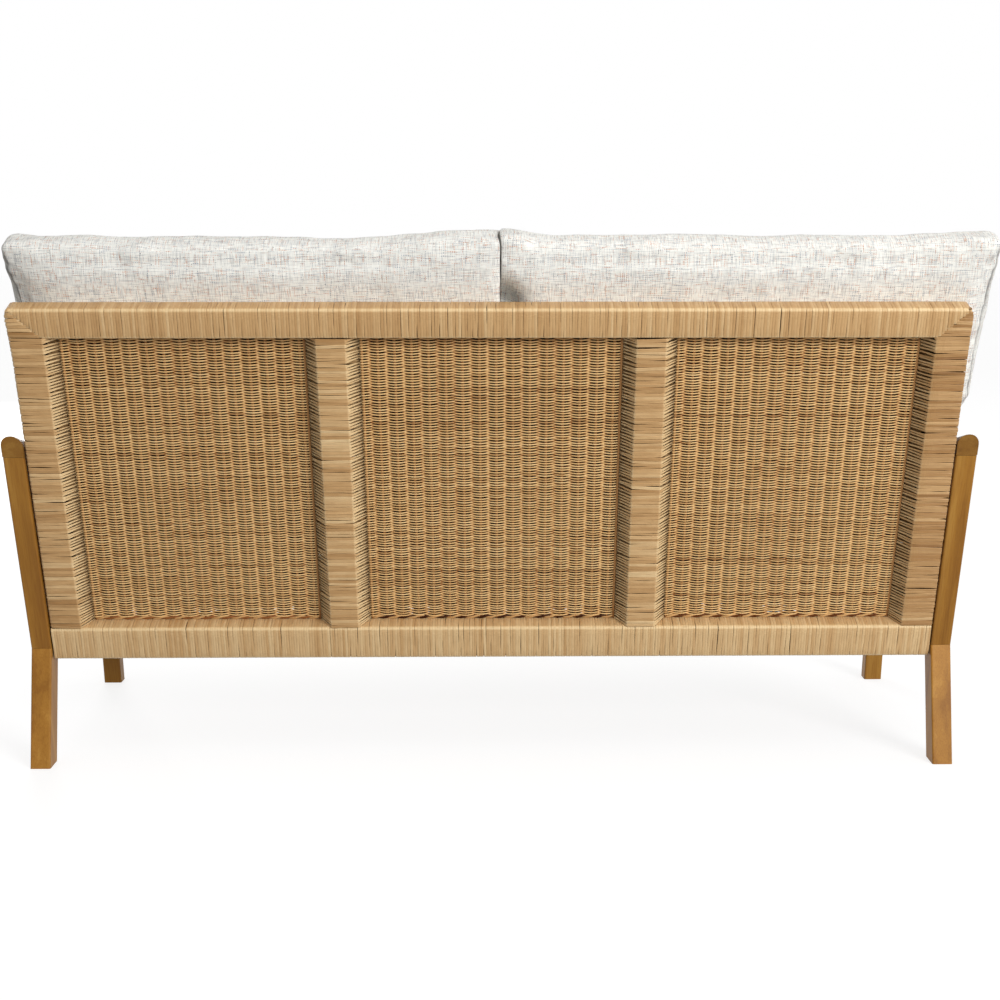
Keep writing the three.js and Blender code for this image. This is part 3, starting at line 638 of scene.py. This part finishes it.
# Painted light: the bottom rail's turns are made paler, standing in for the light that its golden top face
# catches.
bottom_rail_painted_light = 0.2
wind_rail(bottom_rail, lambda across: 0, lambda across: bottom_rail_face,
          -back_half, back_half, on_back, turned, bottom_rail_painted_light)
for strands, name in ((top_rail, "top"), (bottom_rail, "bottom")):
    piece = strands.piece(f"{name}_rail_strands", cane)
    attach(piece, "frame")
    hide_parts(f"back_{name}_wrap")


# Woven panels: round cane worked over and under upright stakes, each row opposite to the one
# below, and beaten down hard. A twisted pair of canes closes the foot of each panel.

row_pitch = 2.5 * mm
stake_pitch = 29 * mm
stake_wide = 5 * mm
stake_deep = 4.4 * mm
weaver_high = 2.5 * mm
weaver_spread = 5.5 * mm
weaver_deep = 2.4 * mm
tuck = 1.6 * mm
border_height = 4.8 * mm
panel_middle = back_depth - stake_deep / 2 - weaver_deep
round_turns = np.linspace(0, 2 * math.pi, 6, endpoint=False)
round_section = np.stack([-np.cos(round_turns) / 2, np.sin(round_turns) / 2], -1)
rear_half = round_section[:, 1] >= 0
weaver_steps = 6
stake_tone = 0.1
edge_stake_tone = 0.15
edge_stake_in = 1.6 * mm
edge_stake_depth = 34 * mm
panel_clearance = 0.6 * mm
stake_points = 20
crossing_sharpness = 1.15
weaver_drift = 0.22 * mm
weaver_height_spread = 0.03
weaver_paleness = 0.1
joint_rarity = 0.012
behind_start = 0.35


def weave_panel(left, right):
    """Stakes one pitch apart from the left edge, and rows that pass them in turn before and behind."""
    strands = Strands()
    low, high = bottom_rail_face + panel_clearance, top_rail_low - panel_clearance
    count = int((right - left) / stake_pitch)
    stakes = [(right - stake_pitch * (i + 1), panel_middle, stake_tone) for i in range(count)]
    for edge in (left + edge_stake_in, right - edge_stake_in):
        stakes.append((edge, edge_stake_depth, edge_stake_tone))
    heights = np.linspace(low, high, stake_points)
    for place, depth, tone in stakes:
        path = np.stack([np.full(stake_points, place), heights, np.full(stake_points, depth)], -1)
        strands.lay(on_back(path), rearwards, leftwards, stake_wide, stake_deep, tone, False, round_section)
    reach = (stake_deep + weaver_deep) / 2
    count_along = int((right - left) / stake_pitch * weaver_steps)
    across = np.linspace(left - tuck, right + tuck, count_along)
    swing = np.cos((right - across) / stake_pitch * math.pi)
    swing = np.sign(swing) * np.abs(swing) ** crossing_sharpness
    first = low + border_height
    for row in range(int((high - first) / row_pitch)):
        inward = swing * (1 if row % 2 else -1)
        depth = panel_middle + reach * inward
        behind = np.clip(inward / behind_start, 0, 1)
        drift = wavering(across - left, weaver_drift)
        path = np.stack([across, first + (row + 0.5) * row_pitch + drift, depth], -1)
        tall = weaver_high + (weaver_spread - weaver_high) * behind
        tall = tall * random.normal(1, weaver_height_spread)
        joints = np.cumsum(random.uniform(0, 1, count_along) < joint_rarity)
        tones = np.array([strand_tone() for _ in range(joints[-1] + 1)])[joints] + weaver_paleness
        # Painted shade: where a row passes on the far side of a stake, its rear-facing half is darkened,
        # standing in for the shade in the weave's gaps.
        painted_weave_shade = np.outer(behind, rear_half)
        strands.lay(on_back(path), rearwards, upwards, tall, weaver_deep, tones[:, None] - painted_weave_shade, False,
                    round_section)
    lay_twist(strands, left, right, low + border_height / 2)
    return strands


twist_cane = 4.8 * mm
twist_reach = 1.9 * mm
twist_pitch = 18 * mm
twist_step = 3 * mm
twist_end = 1 * mm
twist_shade = 0.1
second_twist_shade = 0.5


def lay_twist(strands, left, right, height):
    """A pair of canes twisted round each other, one full turn for every two pitches."""
    count_along = int((right - left) / twist_step)
    across = np.linspace(left + twist_end, right - twist_end, count_along)
    for half in (0, 1):
        angle = (across - left) / twist_pitch * math.pi + half * math.pi
        path = np.stack([
            across,
            height + twist_reach * np.cos(angle),
            panel_middle - twist_reach * np.sin(angle),
        ], -1)
        tone = strand_tone() - twist_shade - second_twist_shade * half
        strands.lay(on_back(path), rearwards, upwards, twist_cane, twist_cane, tone, False, round_section)


# The deep stop is near-black, the painted shade of the rows where they pass the stakes on the far side.
weave_cane = cane_finish("cane_weave", linear(244, 212, 158), linear(229, 189, 131), linear(132, 77, 36),
                         linear(44, 19, 9), 0.08)
mullion_reach = mullion_face / 2 + mullion_flare
panel_spans = {
    "left": (mullion_centre + mullion_reach, stile_inner - stile_flare),
    "centre": (mullion_reach - mullion_centre, mullion_centre - mullion_reach),
    "right": (stile_flare - stile_inner, -mullion_centre - mullion_reach),
}
for panel_name, (left, right) in panel_spans.items():
    piece = weave_panel(left, right).piece(f"weave_{panel_name}", weave_cane)
    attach(piece, "frame")
    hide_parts(f"woven_panel_{panel_name}")


# Seat deck: a front rail wound with the same cane, and oiled slats laid from front to back.
# The deck slopes down towards the back, and the slats lie on the cleat and the rear rail.

deck_front_setback = 551.35 * mm
deck_height = 306 * mm
deck_front = Vector((0, foot_rear - deck_front_setback, deck_height))
seat_place = Matrix.Translation(deck_front) @ Matrix.Rotation(-seat_slope, 4, "X")
front_rail_face = 66.5 * mm
front_rail_top = -0.3 * mm
rail_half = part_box("front_rail_wrap")[1].x


def on_deck(points):
    """Places points given across, up and back from the foot of the front rail's front face."""
    across, up, depth = np.asarray(points).T
    local = np.stack([across, depth - back_depth, up + front_rail_top - front_rail_face, np.ones_like(up)])
    return (np.array(seat_place) @ local)[:3].T


def turned_on_deck(directions):
    across, up, depth = np.asarray(directions, float).T
    return (np.array(seat_place.to_3x3()) @ np.stack([across, depth, up])).T


front_rail = Strands()
wind_rail(front_rail, lambda across: 0, lambda across: front_rail_face,
          -rail_half, rail_half, on_deck, turned_on_deck, 0)
piece = front_rail.piece("front_rail_strands", cane)
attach(piece, "frame")
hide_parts("front_rail_wrap")
slat_count = 12
first_slat_board = 20
for number in range(1, slat_count + 1):
    board = first_slat_board + number
    dress(f"seat_slat_{number:02d}", timber_finish(f"timber_slat_{number:02d}", seat_slope, board, False))


# Bolts: zinc-plated connector bolts with a hex socket, let into the outside of the side frames.

plate_grain = 900
plate_grain_height = 0.1 * mm


def plated_finish():
    finish = Finish("zinc_plate")
    place = finish.add("TexCoord").outputs["Object"]
    grain = finish.noise(place, plate_grain, 2)
    colour = finish.ramp(grain, (0.3, linear(150, 152, 156)), (0.7, linear(186, 188, 192)))
    finish.bump(grain, plate_grain_height, 0.3)
    return finish.wear(Base_Color=colour, Roughness=0.36, Metallic=1.0)


plate = plated_finish()
for place in ("back_upper", "back_lower", "front_rail", "rear_rail"):
    for side in ("left", "right"):
        dress(f"bolt_{place}_{side}", plate)


# Cushions: foam pads in boxed covers of off-white slub tweed, flecked with grey, blue and rust.
# The panels are sewn to a border with plain seams. Each starts from its solid, is blown up as
# cloth so that the cover tightens and creases towards its seams, and is then held to its place.

voxel = 6 * mm
cover_slack = 9 * mm
swell_limit = 7 * mm
fullness_share = 0.25
cloth_frames = 12
fullness_evening = 120
seam_depth = 2.4 * mm
seam_width = 3.4 * mm
seam_edge_radius = 34 * mm
seam_turn = math.radians(42)
seam_evening = 10
quiet_top_share = 0.9

yarn_pitch = 1.2 * mm
crossing_pitch = 3.7 * mm
slub_width = 1.9 * mm
slub_length = 26 * mm
slub_levels = (0.3, [0.76, 0.76, 0.77, 1]), (0.43, grey(0.95)), (0.52, grey(1.01)), (0.68, grey(1.09))
painted_yarn_gap_shade = (0.0, grey(0.88)), (0.4, grey(1)), (1.0, grey(1.03))
cloth_white = linear(250, 249, 242)
seam_shadow = linear(96, 92, 94)
seam_shadow_share = 0.75
yarn_height = 0.7 * mm
fleck_sharpness = 14
flecks = [
    (1.9 * mm, 34 * mm, 0.63, 0.75, linear(176, 180, 188)),
    (1.9 * mm, 26 * mm, 0.635, 0.85, linear(206, 142, 98)),
    (1.9 * mm, 30 * mm, 0.65, 0.85, linear(116, 126, 148)),
    (1.9 * mm, 18 * mm, 0.685, 0.95, linear(184, 98, 54)),
    (1.9 * mm, 12 * mm, 0.7, 0.95, linear(56, 56, 68)),
]


def tweed_finish():
    """Fine plain weave with slubs and flecks of grey, blue, rust and near-black yarn both ways."""
    finish = Finish("slub_tweed")
    place = finish.add("UVMap", uv_map="cloth").outputs["UV"]
    parts = finish.add("SeparateXYZ", {"Vector": place})

    def dashes(wide, long, start):
        return finish.noise(finish.stretched(place, (1 / wide, 1 / long, 1), location=start), 1, 1)

    def wave(way, pitch):
        turns = finish.math("MULTIPLY", parts.outputs[way], math.pi / pitch)
        return finish.math("ABSOLUTE", finish.math("SINE", turns))

    colour = None
    for number, (wide, long) in enumerate(((slub_width, slub_length), (slub_length, slub_width))):
        tint = finish.ramp(dashes(wide, long, (3 * number, 7 * number, 0)), *slub_levels)
        colour = tint if colour is None else finish.mix(1, colour, tint, "MULTIPLY")
    colour = finish.mix(1, colour, cloth_white, "MULTIPLY")
    for number, (wide, long, edge, most, tint) in enumerate(flecks):
        for way, size in (("Y", (wide, long)), ("X", (long, wide))):
            value = dashes(*size, (11 + 13 * number, 5 + 17 * (way == "X"), 3 * number))
            share = finish.math("MULTIPLY", finish.math("SUBTRACT", value, edge), fleck_sharpness, clamp=True)
            shown = finish.math("MULTIPLY_ADD", wave(way, crossing_pitch), 1.5, -0.3, clamp=True)
            share = finish.math("MULTIPLY", finish.math("MULTIPLY", share, shown), most)
            colour = finish.mix(share, colour, tint)
    # Painted shade: the cloth is darker in the gaps between the yarns.
    crown = finish.math("MULTIPLY", wave("X", yarn_pitch), wave("Y", yarn_pitch))
    colour = finish.mix(1, colour, finish.ramp(crown, *painted_yarn_gap_shade), "MULTIPLY")
    seam = finish.add("Attribute", attribute_name="seam").outputs["Fac"]
    colour = finish.mix(finish.math("MULTIPLY", seam, seam_shadow_share), colour, seam_shadow, "MULTIPLY")
    finish.bump(crown, yarn_height, 0.6)
    return finish.wear(Base_Color=colour, Roughness=0.92, Sheen_Weight=0.1, Specular_IOR_Level=0.2)


tweed = tweed_finish()


def read_vectors(items, name):
    flat = np.zeros(len(items) * 3)
    items.foreach_get(name, flat)
    return flat.reshape(-1, 3)


def coordinates(mesh):
    return read_vectors(mesh.vertices, "co")


def move_to(mesh, points):
    mesh.vertices.foreach_set("co", points.ravel())
    mesh.update()


def bake_modifiers(piece):
    depsgraph = bpy.context.evaluated_depsgraph_get()
    done = bpy.data.meshes.new_from_object(piece.evaluated_get(depsgraph))
    piece.modifiers.clear()
    piece.data = done


cover_cloth = {
    "quality": 3,
    "mass": 0.35,
    "tension_stiffness": 12,
    "compression_stiffness": 12,
    "shear_stiffness": 6,
    "bending_stiffness": 0.6,
    "use_pressure": True,
    "uniform_pressure_force": 4,
}


def inflate(piece):
    """Blows the cover up as cloth from a slightly smaller start, and says how far it moves."""
    start = coordinates(piece.data)
    cloth = piece.modifiers.new("cloth", "CLOTH")
    for name, value in cover_cloth.items():
        setattr(cloth.settings, name, value)
    cloth.settings.effector_weights.gravity = 0
    cloth.collision_settings.use_collision = False
    for number in range(1, cloth_frames + 1):
        bpy.context.scene.frame_set(number)
    blown = piece.evaluated_get(bpy.context.evaluated_depsgraph_get())
    end = coordinates(blown.to_mesh())
    blown.to_mesh_clear()
    piece.modifiers.remove(cloth)
    bpy.context.scene.frame_set(1)
    return end - start


def evened(mesh, values, rounds):
    """Averages values over each point's neighbours, again and again."""
    ends = np.zeros(len(mesh.edges) * 2, int)
    mesh.edges.foreach_get("vertices", ends)
    first, second = ends.reshape(-1, 2).T
    count = len(mesh.vertices)
    neighbours = np.bincount(first, minlength=count) + np.bincount(second, minlength=count)
    for _ in range(rounds):
        total = np.bincount(first, values[second], count) + np.bincount(second, values[first], count)
        values = (values + total / neighbours) / 2
    return values


def swell(piece):
    """Gives the cover its full size, with the creases and a part of the fullness of the cloth."""
    ways = read_vectors(piece.data.vertices, "normal")
    rise = np.full(len(ways), cover_slack)
    move = np.sum(inflate(piece) * ways, axis=1)
    fullness = evened(piece.data, move, fullness_evening)
    creases = np.clip(move - fullness, -swell_limit, swell_limit)
    rise += creases + fullness_share * np.clip(fullness - cover_slack, -swell_limit, swell_limit)
    move_to(piece.data, coordinates(piece.data) + ways * rise[:, None])


rumple_spread = 0.6, 1.4


def rumple(points, length, seed, count=16):
    """A smooth random field over the cover, with waves of about one length in every direction."""
    chance = np.random.default_rng(seed)
    ways = chance.normal(size=(count, 3))
    sizes = np.linalg.norm(ways, axis=1, keepdims=True)
    ways *= (2 * math.pi / length) / sizes * chance.uniform(*rumple_spread, (count, 1))
    phases = chance.uniform(0, 2 * math.pi, count)
    field = np.zeros(len(points))
    for way, phase in zip(ways, phases):
        field += np.sin(points @ way + phase)
    return field * math.sqrt(2 / count)


def seam_distance(mesh, facing):
    """Distance over the rounded edge to the seam, where the edge turns from border to panel."""
    turned_share = np.clip(np.abs(evened(mesh, facing, seam_evening)), 0, 1)
    return seam_edge_radius * np.abs(np.arcsin(turned_share) - seam_turn)


weld_distance = 0.05 * mm
smoothing_rounds = 6
smoothing_share = 0.5


def cover(node, place, axis, form, seed):
    """Makes one cushion's cover from its solid, in the frame that it lies in."""
    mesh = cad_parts[node].data.copy()
    piece = stand(f"cover_{node}", mesh)
    editing = bmesh.new()
    editing.from_mesh(mesh)
    bmesh.ops.remove_doubles(editing, verts=editing.verts, dist=weld_distance)
    editing.normal_update()
    for vertex in editing.verts:
        vertex.co -= vertex.normal * cover_slack
    editing.to_mesh(mesh)
    editing.free()
    remesh = piece.modifiers.new("remesh", "REMESH")
    remesh.mode = "VOXEL"
    remesh.voxel_size = voxel
    smooth = piece.modifiers.new("smooth", "SMOOTH")
    smooth.iterations = smoothing_rounds
    smooth.factor = smoothing_share
    bake_modifiers(piece)
    swell(piece)
    piece.modifiers.new("finer", "SUBSURF").levels = 1
    bake_modifiers(piece)
    sew(piece.data, place, axis, form, seed)
    lay_cloth(piece.data, place, axis)
    piece.data.polygons.foreach_set("use_smooth", [True] * len(piece.data.polygons))
    piece.data.materials.clear()
    piece.data.materials.append(tweed)
    return piece


def smooth_share(values, start, end):
    """Rises smoothly from 0 at the start to 1 at the end."""
    share = np.clip((values - start) / (end - start), 0, 1)
    return share * share * (3 - 2 * share)


pucker_length, pucker_reach, pucker_height = 26 * mm, 16 * mm, 0.6 * mm
wide_dent, wide_dent_height = 210 * mm, 1.6 * mm
small_dent, small_dent_height = 75 * mm, 0.5 * mm


def sew(mesh, place, axis, form, seed):
    """Draws the seams in, puckers the cloth beside them and gives the panels their soft dents."""
    world = np.array(place)
    inverse = np.linalg.inv(world)
    points = coordinates(mesh) @ inverse[:3, :3].T + inverse[:3, 3]
    normals = read_vectors(mesh.vertices, "normal") @ inverse[:3, :3].T
    along = 3 - axis
    shaped, sunk, held = form
    points = held(shaped(points))
    away = seam_distance(mesh, normals[:, axis])
    points[:, axis] += sunk(points)
    on_top = smooth_share(normals[:, along], 0.1, 0.5) if axis == 1 else 0
    plain = 1 - quiet_top_share * on_top
    groove = np.exp(-(away / seam_width) ** 2) * plain
    near_seam = np.exp(-(away / pucker_reach) ** 2)
    pucker = rumple(points, pucker_length, seed) * near_seam * pucker_height * plain
    dents = rumple(points, wide_dent, seed + 1) * wide_dent_height
    dents = dents + rumple(points, small_dent, seed + 2) * small_dent_height
    points = points + normals * (pucker + dents - seam_depth * groove)[:, None]
    points = points + ears(points, away, along)
    points = held(points)
    move_to(mesh, points @ world[:3, :3].T + world[:3, 3])
    note = mesh.attributes.new("seam", "FLOAT", "POINT")
    note.data.foreach_set("value", groove.astype(np.float32))


ear_size = 40 * mm
ear_pull = 0.25
ear_seam_reach = 14 * mm


def ears(points, away, along):
    """Sewn corners stand out a little from the rounded foam."""
    pulled = np.zeros_like(points)
    for across_end in (points[:, 0].min(), points[:, 0].max()):
        for along_end in (points[:, along].min(), points[:, along].max()):
            towards = np.zeros_like(points)
            towards[:, 0] = across_end - points[:, 0]
            towards[:, along] = along_end - points[:, along]
            reach = np.linalg.norm(towards, axis=1)
            share = np.exp(-(reach / ear_size) ** 2) * np.exp(-(away / ear_seam_reach) ** 2)
            pulled += towards * share[:, None] * ear_pull
    return pulled


panel_facing = 0.62


def lay_cloth(mesh, place, axis):
    """Lays the cloth on each panel and on the border, square to the cushion's edges."""
    inverse = np.array(place.inverted().to_3x3())
    local = coordinates(mesh) @ inverse.T
    facing = np.abs(read_vectors(mesh.polygons, "normal") @ inverse.T)
    across, along = [other for other in range(3) if other != axis]
    on_panel = facing[:, axis] > panel_facing
    on_end = facing[:, across] > facing[:, along]
    first = np.where(on_panel | ~on_end, across, along)
    second = np.where(on_panel, along, axis)
    totals = np.zeros(len(mesh.polygons), int)
    mesh.polygons.foreach_get("loop_total", totals)
    corners = np.zeros(len(mesh.loops), int)
    mesh.loops.foreach_get("vertex_index", corners)
    first, second = np.repeat(first, totals), np.repeat(second, totals)
    cloth = mesh.uv_layers.new(name="cloth")
    flat = np.stack([local[corners, first], local[corners, second]], -1)
    cloth.data.foreach_set("uv", flat.astype(np.float32).ravel())


seat_reach = 810.5 * mm
middle_gap = 0.5 * mm
middle_lap = 4 * mm
wave_length = 150 * mm
clearance = 0.4 * mm
split = 16.5 * mm
top_height = 772 * mm
back_top = 789 * mm
least_size = 1e-9
squared_start_share = 0.4
lean_run = 170 * mm
rise_run = 50 * mm
sink_run = 70 * mm
overhang_run = 40 * mm
squareness = 3.6
inner_push = 36 * mm
inner_run = 110 * mm
inner_press = 1.5 * mm
overhang = 2.5 * mm
top_roll = 42 * mm
corner_roll = 42 * mm
inner_roll = {1: 16 * mm, -1: 2 * mm}
outer_roll = 30 * mm
back_bottom = 215 * mm
settle_drop = 11 * mm
settle_slope = 0.3
settle_from = 100 * mm
settle_run = 160 * mm
top_rise = {1: 4 * mm, -1: 8 * mm}
back_reach = {1: (828 * mm, 824 * mm, 0.04), -1: (850 * mm, 865 * mm, 0.04)}
inner_rise = {1: (5 * mm, 220 * mm), -1: (8 * mm, 90 * mm)}
sunk_corner = {1: (824 * mm, 24 * mm, 62 * mm, 0.8, 0), -1: (18 * mm, 50 * mm, 30 * mm, 1.2, 12 * mm)}


def stopped(values, limit, softness=4 * mm):
    """Values that come near a limit are pressed together so that none passes it."""
    near = limit - 2 * softness
    over = np.maximum(values - near, 0)
    return np.minimum(values, near) + 2 * softness * (1 - np.exp(-over / (2 * softness)))


def squared(first, second, first_end, second_end, roll):
    """Fills a round edge out towards the corner where the two ends meet."""
    away = np.stack([first - first_end + roll, second - second_end + roll])
    inside = (away > 0).all(0)
    size = np.maximum(np.linalg.norm(away, axis=0), least_size)
    way = np.clip(away / size, 0, 1)
    fuller = np.where(inside, np.sum(way ** squareness, axis=0), 1) ** (-1 / squareness)
    more = np.where(inside, (fuller - 1) * smooth_share(size, squared_start_share * roll, roll), 0)
    return first + away[0] * more, second + away[1] * more


def meeting(depth, start):
    """The two cushions of a pair press on each other along a slightly wavy face."""
    return middle_lap * np.sin((depth - start) / wave_length * 2 * math.pi)


def shape_seat(side):
    def shaped(local):
        across, along, up = local.T
        outward = side * across
        outward = outward - inner_push * (1 - smooth_share(outward, 0, inner_run))
        return np.stack([side * outward, along, up], -1)
    return shaped


def hold_seat(side):
    def held(local):
        across, along, up = local.T
        outer = stopped(side * across, seat_reach)
        wall = side * meeting(along, 0) + middle_gap
        return np.stack([side * -stopped(-outer, -wall, inner_press), along, np.maximum(up, clearance)], -1)
    return held


def shape_back(side):
    """Fills the corners behind, lets the outer end lean, and presses the inner end on its neighbour."""
    def shaped(local):
        across, ahead, up = local.T
        formed, widest, slope = back_reach[side]
        outward = side * across
        inner = -side * split
        ahead, up = squared(ahead, up, -back_depth, back_top, top_roll)
        outward, up = squared(outward, up, formed, back_top, corner_roll)
        inward, up = squared(-outward, up, -inner, back_top, inner_roll[side])
        inward, ahead = squared(inward, ahead, -inner, -back_depth, outer_roll)
        outward, ahead = squared(-inward, ahead, formed, -back_depth, outer_roll)
        wanted = widest - slope * (top_height - np.minimum(up, top_height))
        outward = outward + (wanted - formed) * smooth_share(outward, formed - lean_run, formed)
        outward = outward - inner_push * (1 - smooth_share(outward, inner, inner + inner_run))
        rise, run = inner_rise[side]
        raised = top_rise[side] + rise * (1 - smooth_share(outward, inner, inner + run))
        up = up + raised * smooth_share(up, back_height - rise_run, back_top)
        settled = settle_drop + settle_slope * np.maximum(-ahead - settle_from, 0)
        up = up - settled * (1 - smooth_share(up, back_bottom, back_bottom + settle_run))
        return np.stack([side * outward, ahead, up], -1)
    return shaped


def sink_back(side):
    """Where the rear panel has sunk in, at one corner beside the frame's top rail."""
    def sunk(local):
        across, ahead, up = local.T
        place, depth, size, tall_share, below = sunk_corner[side]
        above = up - back_height + below
        near = np.exp(-((side * across - place) / size) ** 2 - (above / (tall_share * size)) ** 2)
        return -depth * near * smooth_share(ahead, -back_depth - sink_run, -back_depth)
    return sunk


def level_seat(local):
    return np.zeros(len(local))


def hold_back(side):
    def held(local):
        across, ahead, up = local.T
        wall = -side * split + side * meeting(-ahead, back_depth) + middle_gap
        rear = overhang * smooth_share(up, back_height, back_height + overhang_run) - back_depth - clearance
        across = side * -stopped(-side * across, -wall, inner_press)
        return np.stack([across, np.minimum(ahead, rear), up], -1)
    return held


first_seed, seed_step = 40, 7
for side_name, side in sides.items():
    for kind, place, axis, form, fill in (
        ("seat_cushion", seat_place, 2, (shape_seat(side), level_seat, hold_seat(side)), 0.8),
        ("back_cushion", back_place, 1, (shape_back(side), sink_back(side), hold_back(side)), 0.7),
    ):
        seed = first_seed + side + seed_step * axis
        piece = cover(f"{kind}_{side_name}", place, axis, form, seed)
        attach(piece, f"{kind}_{side_name}")
        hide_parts(f"{kind}_{side_name}")


# The setting: a white studio floor, a broad soft window light from behind the camera, weaker
# lights from above and from the far side, and a camera at the photograph's eye height and distance.

paper_grey = linear(142, 142, 142)
bounce_grey = linear(165, 165, 165)
paper_glow = 0.78


def plainly_seen(tree):
    """One for what the camera sees, directly, in a gloss or through glass."""
    ray = tree.nodes.new("ShaderNodeLightPath")
    total = ray.outputs["Is Camera Ray"]
    for name in ("Is Glossy Ray", "Is Transmission Ray"):
        more = tree.nodes.new("ShaderNodeMath")
        more.operation = "MAXIMUM"
        tree.links.new(total, more.inputs[0])
        tree.links.new(ray.outputs[name], more.inputs[1])
        total = more.outputs[0]
    return total


def studio_floor():
    """White paper, which the camera and reflections also see as lit from below."""
    finish = Finish("white_floor")
    finish.wear(Base_Color=paper_grey, Roughness=0.9)
    glow = finish.add("Emission", {"Color": grey(1), "Strength": paper_glow}).outputs["Emission"]
    paper = finish.add("BsdfDiffuse", {"Color": bounce_grey}).outputs["BSDF"]
    seen = finish.add("AddShader")
    finish.put(glow, seen.inputs[0])
    finish.put(finish.shader.outputs["BSDF"], seen.inputs[1])
    choice = finish.add("MixShader", {"Fac": plainly_seen(finish.tree)})
    finish.put(paper, choice.inputs[1])
    finish.put(seen.outputs[0], choice.inputs[2])
    finish.put(choice.outputs[0], finish.tree.nodes["Material Output"].inputs["Surface"])
    return finish.material


floor_half = 30
floor_mesh = bpy.data.meshes.new("floor")
corners = [(x * floor_half, y * floor_half, 0) for x, y in ((-1, -1), (1, -1), (1, 1), (-1, 1))]
floor_mesh.from_pydata(corners, [], [range(len(corners))])
floor_mesh.materials.append(studio_floor())
floor = stand("floor", floor_mesh)

room_light = 0.44
backdrop_light = 1.0
world = bpy.data.worlds.new("studio")
bpy.context.scene.world = world
world.use_nodes = True
sky = world.node_tree
background = sky.nodes["Background"]
background.inputs["Color"].default_value = grey(1)
strength = sky.nodes.new("ShaderNodeMapRange")
strength.inputs["To Min"].default_value = room_light
strength.inputs["To Max"].default_value = backdrop_light
sky.links.new(plainly_seen(sky), strength.inputs["Value"])
sky.links.new(strength.outputs["Result"], background.inputs["Strength"])

lamps = [
    ("overhead", (-0.8, 1.0, 3.2), (0, 0, 0.4), (3.0, 2.2), 19),
    ("window", (-3.7, 5.8, 2.4), (0, 0, 0.5), (2.4, 2.4), 358),
    ("front_fill", (2.2, -6.4, 1.4), (0, 0, 0.6), (2.4, 1.6), 150),
]
for name, place, aim, size, power in lamps:
    lamp = bpy.data.lights.new(name, "AREA")
    lamp.shape = "RECTANGLE"
    lamp.size, lamp.size_y = size
    lamp.energy = power
    made = stand(name, lamp)
    made.location = place
    made.rotation_euler = (Vector(aim) - Vector(place)).to_track_quat("-Z", "Y").to_euler()

camera_side = -12.9 * mm
camera_distance = 3038.3 * mm
eye_height = 987.5 * mm
yaw = math.radians(-0.9681)
pitch = math.radians(9.1559)
lens_length = 61.63
lens_shift = -0.0282
film_width = 36
camera_place = Vector((camera_side, foot_rear + camera_distance, eye_height))
forward = Vector((math.sin(yaw) * math.cos(pitch), -math.cos(yaw) * math.cos(pitch), -math.sin(pitch)))
right = Vector((-math.cos(yaw), -math.sin(yaw), 0))
upward = right.cross(forward)
lens = bpy.data.cameras.new("photo_view")
lens.sensor_width = film_width
lens.lens = lens_length
lens.shift_x = lens_shift
camera = stand("photo_view", lens)
turn = Matrix((right, upward, -forward)).transposed().to_4x4()
camera.matrix_world = Matrix.Translation(camera_place) @ turn
bpy.context.scene.camera = camera
bpy.context.scene.view_settings.view_transform = "Standard"
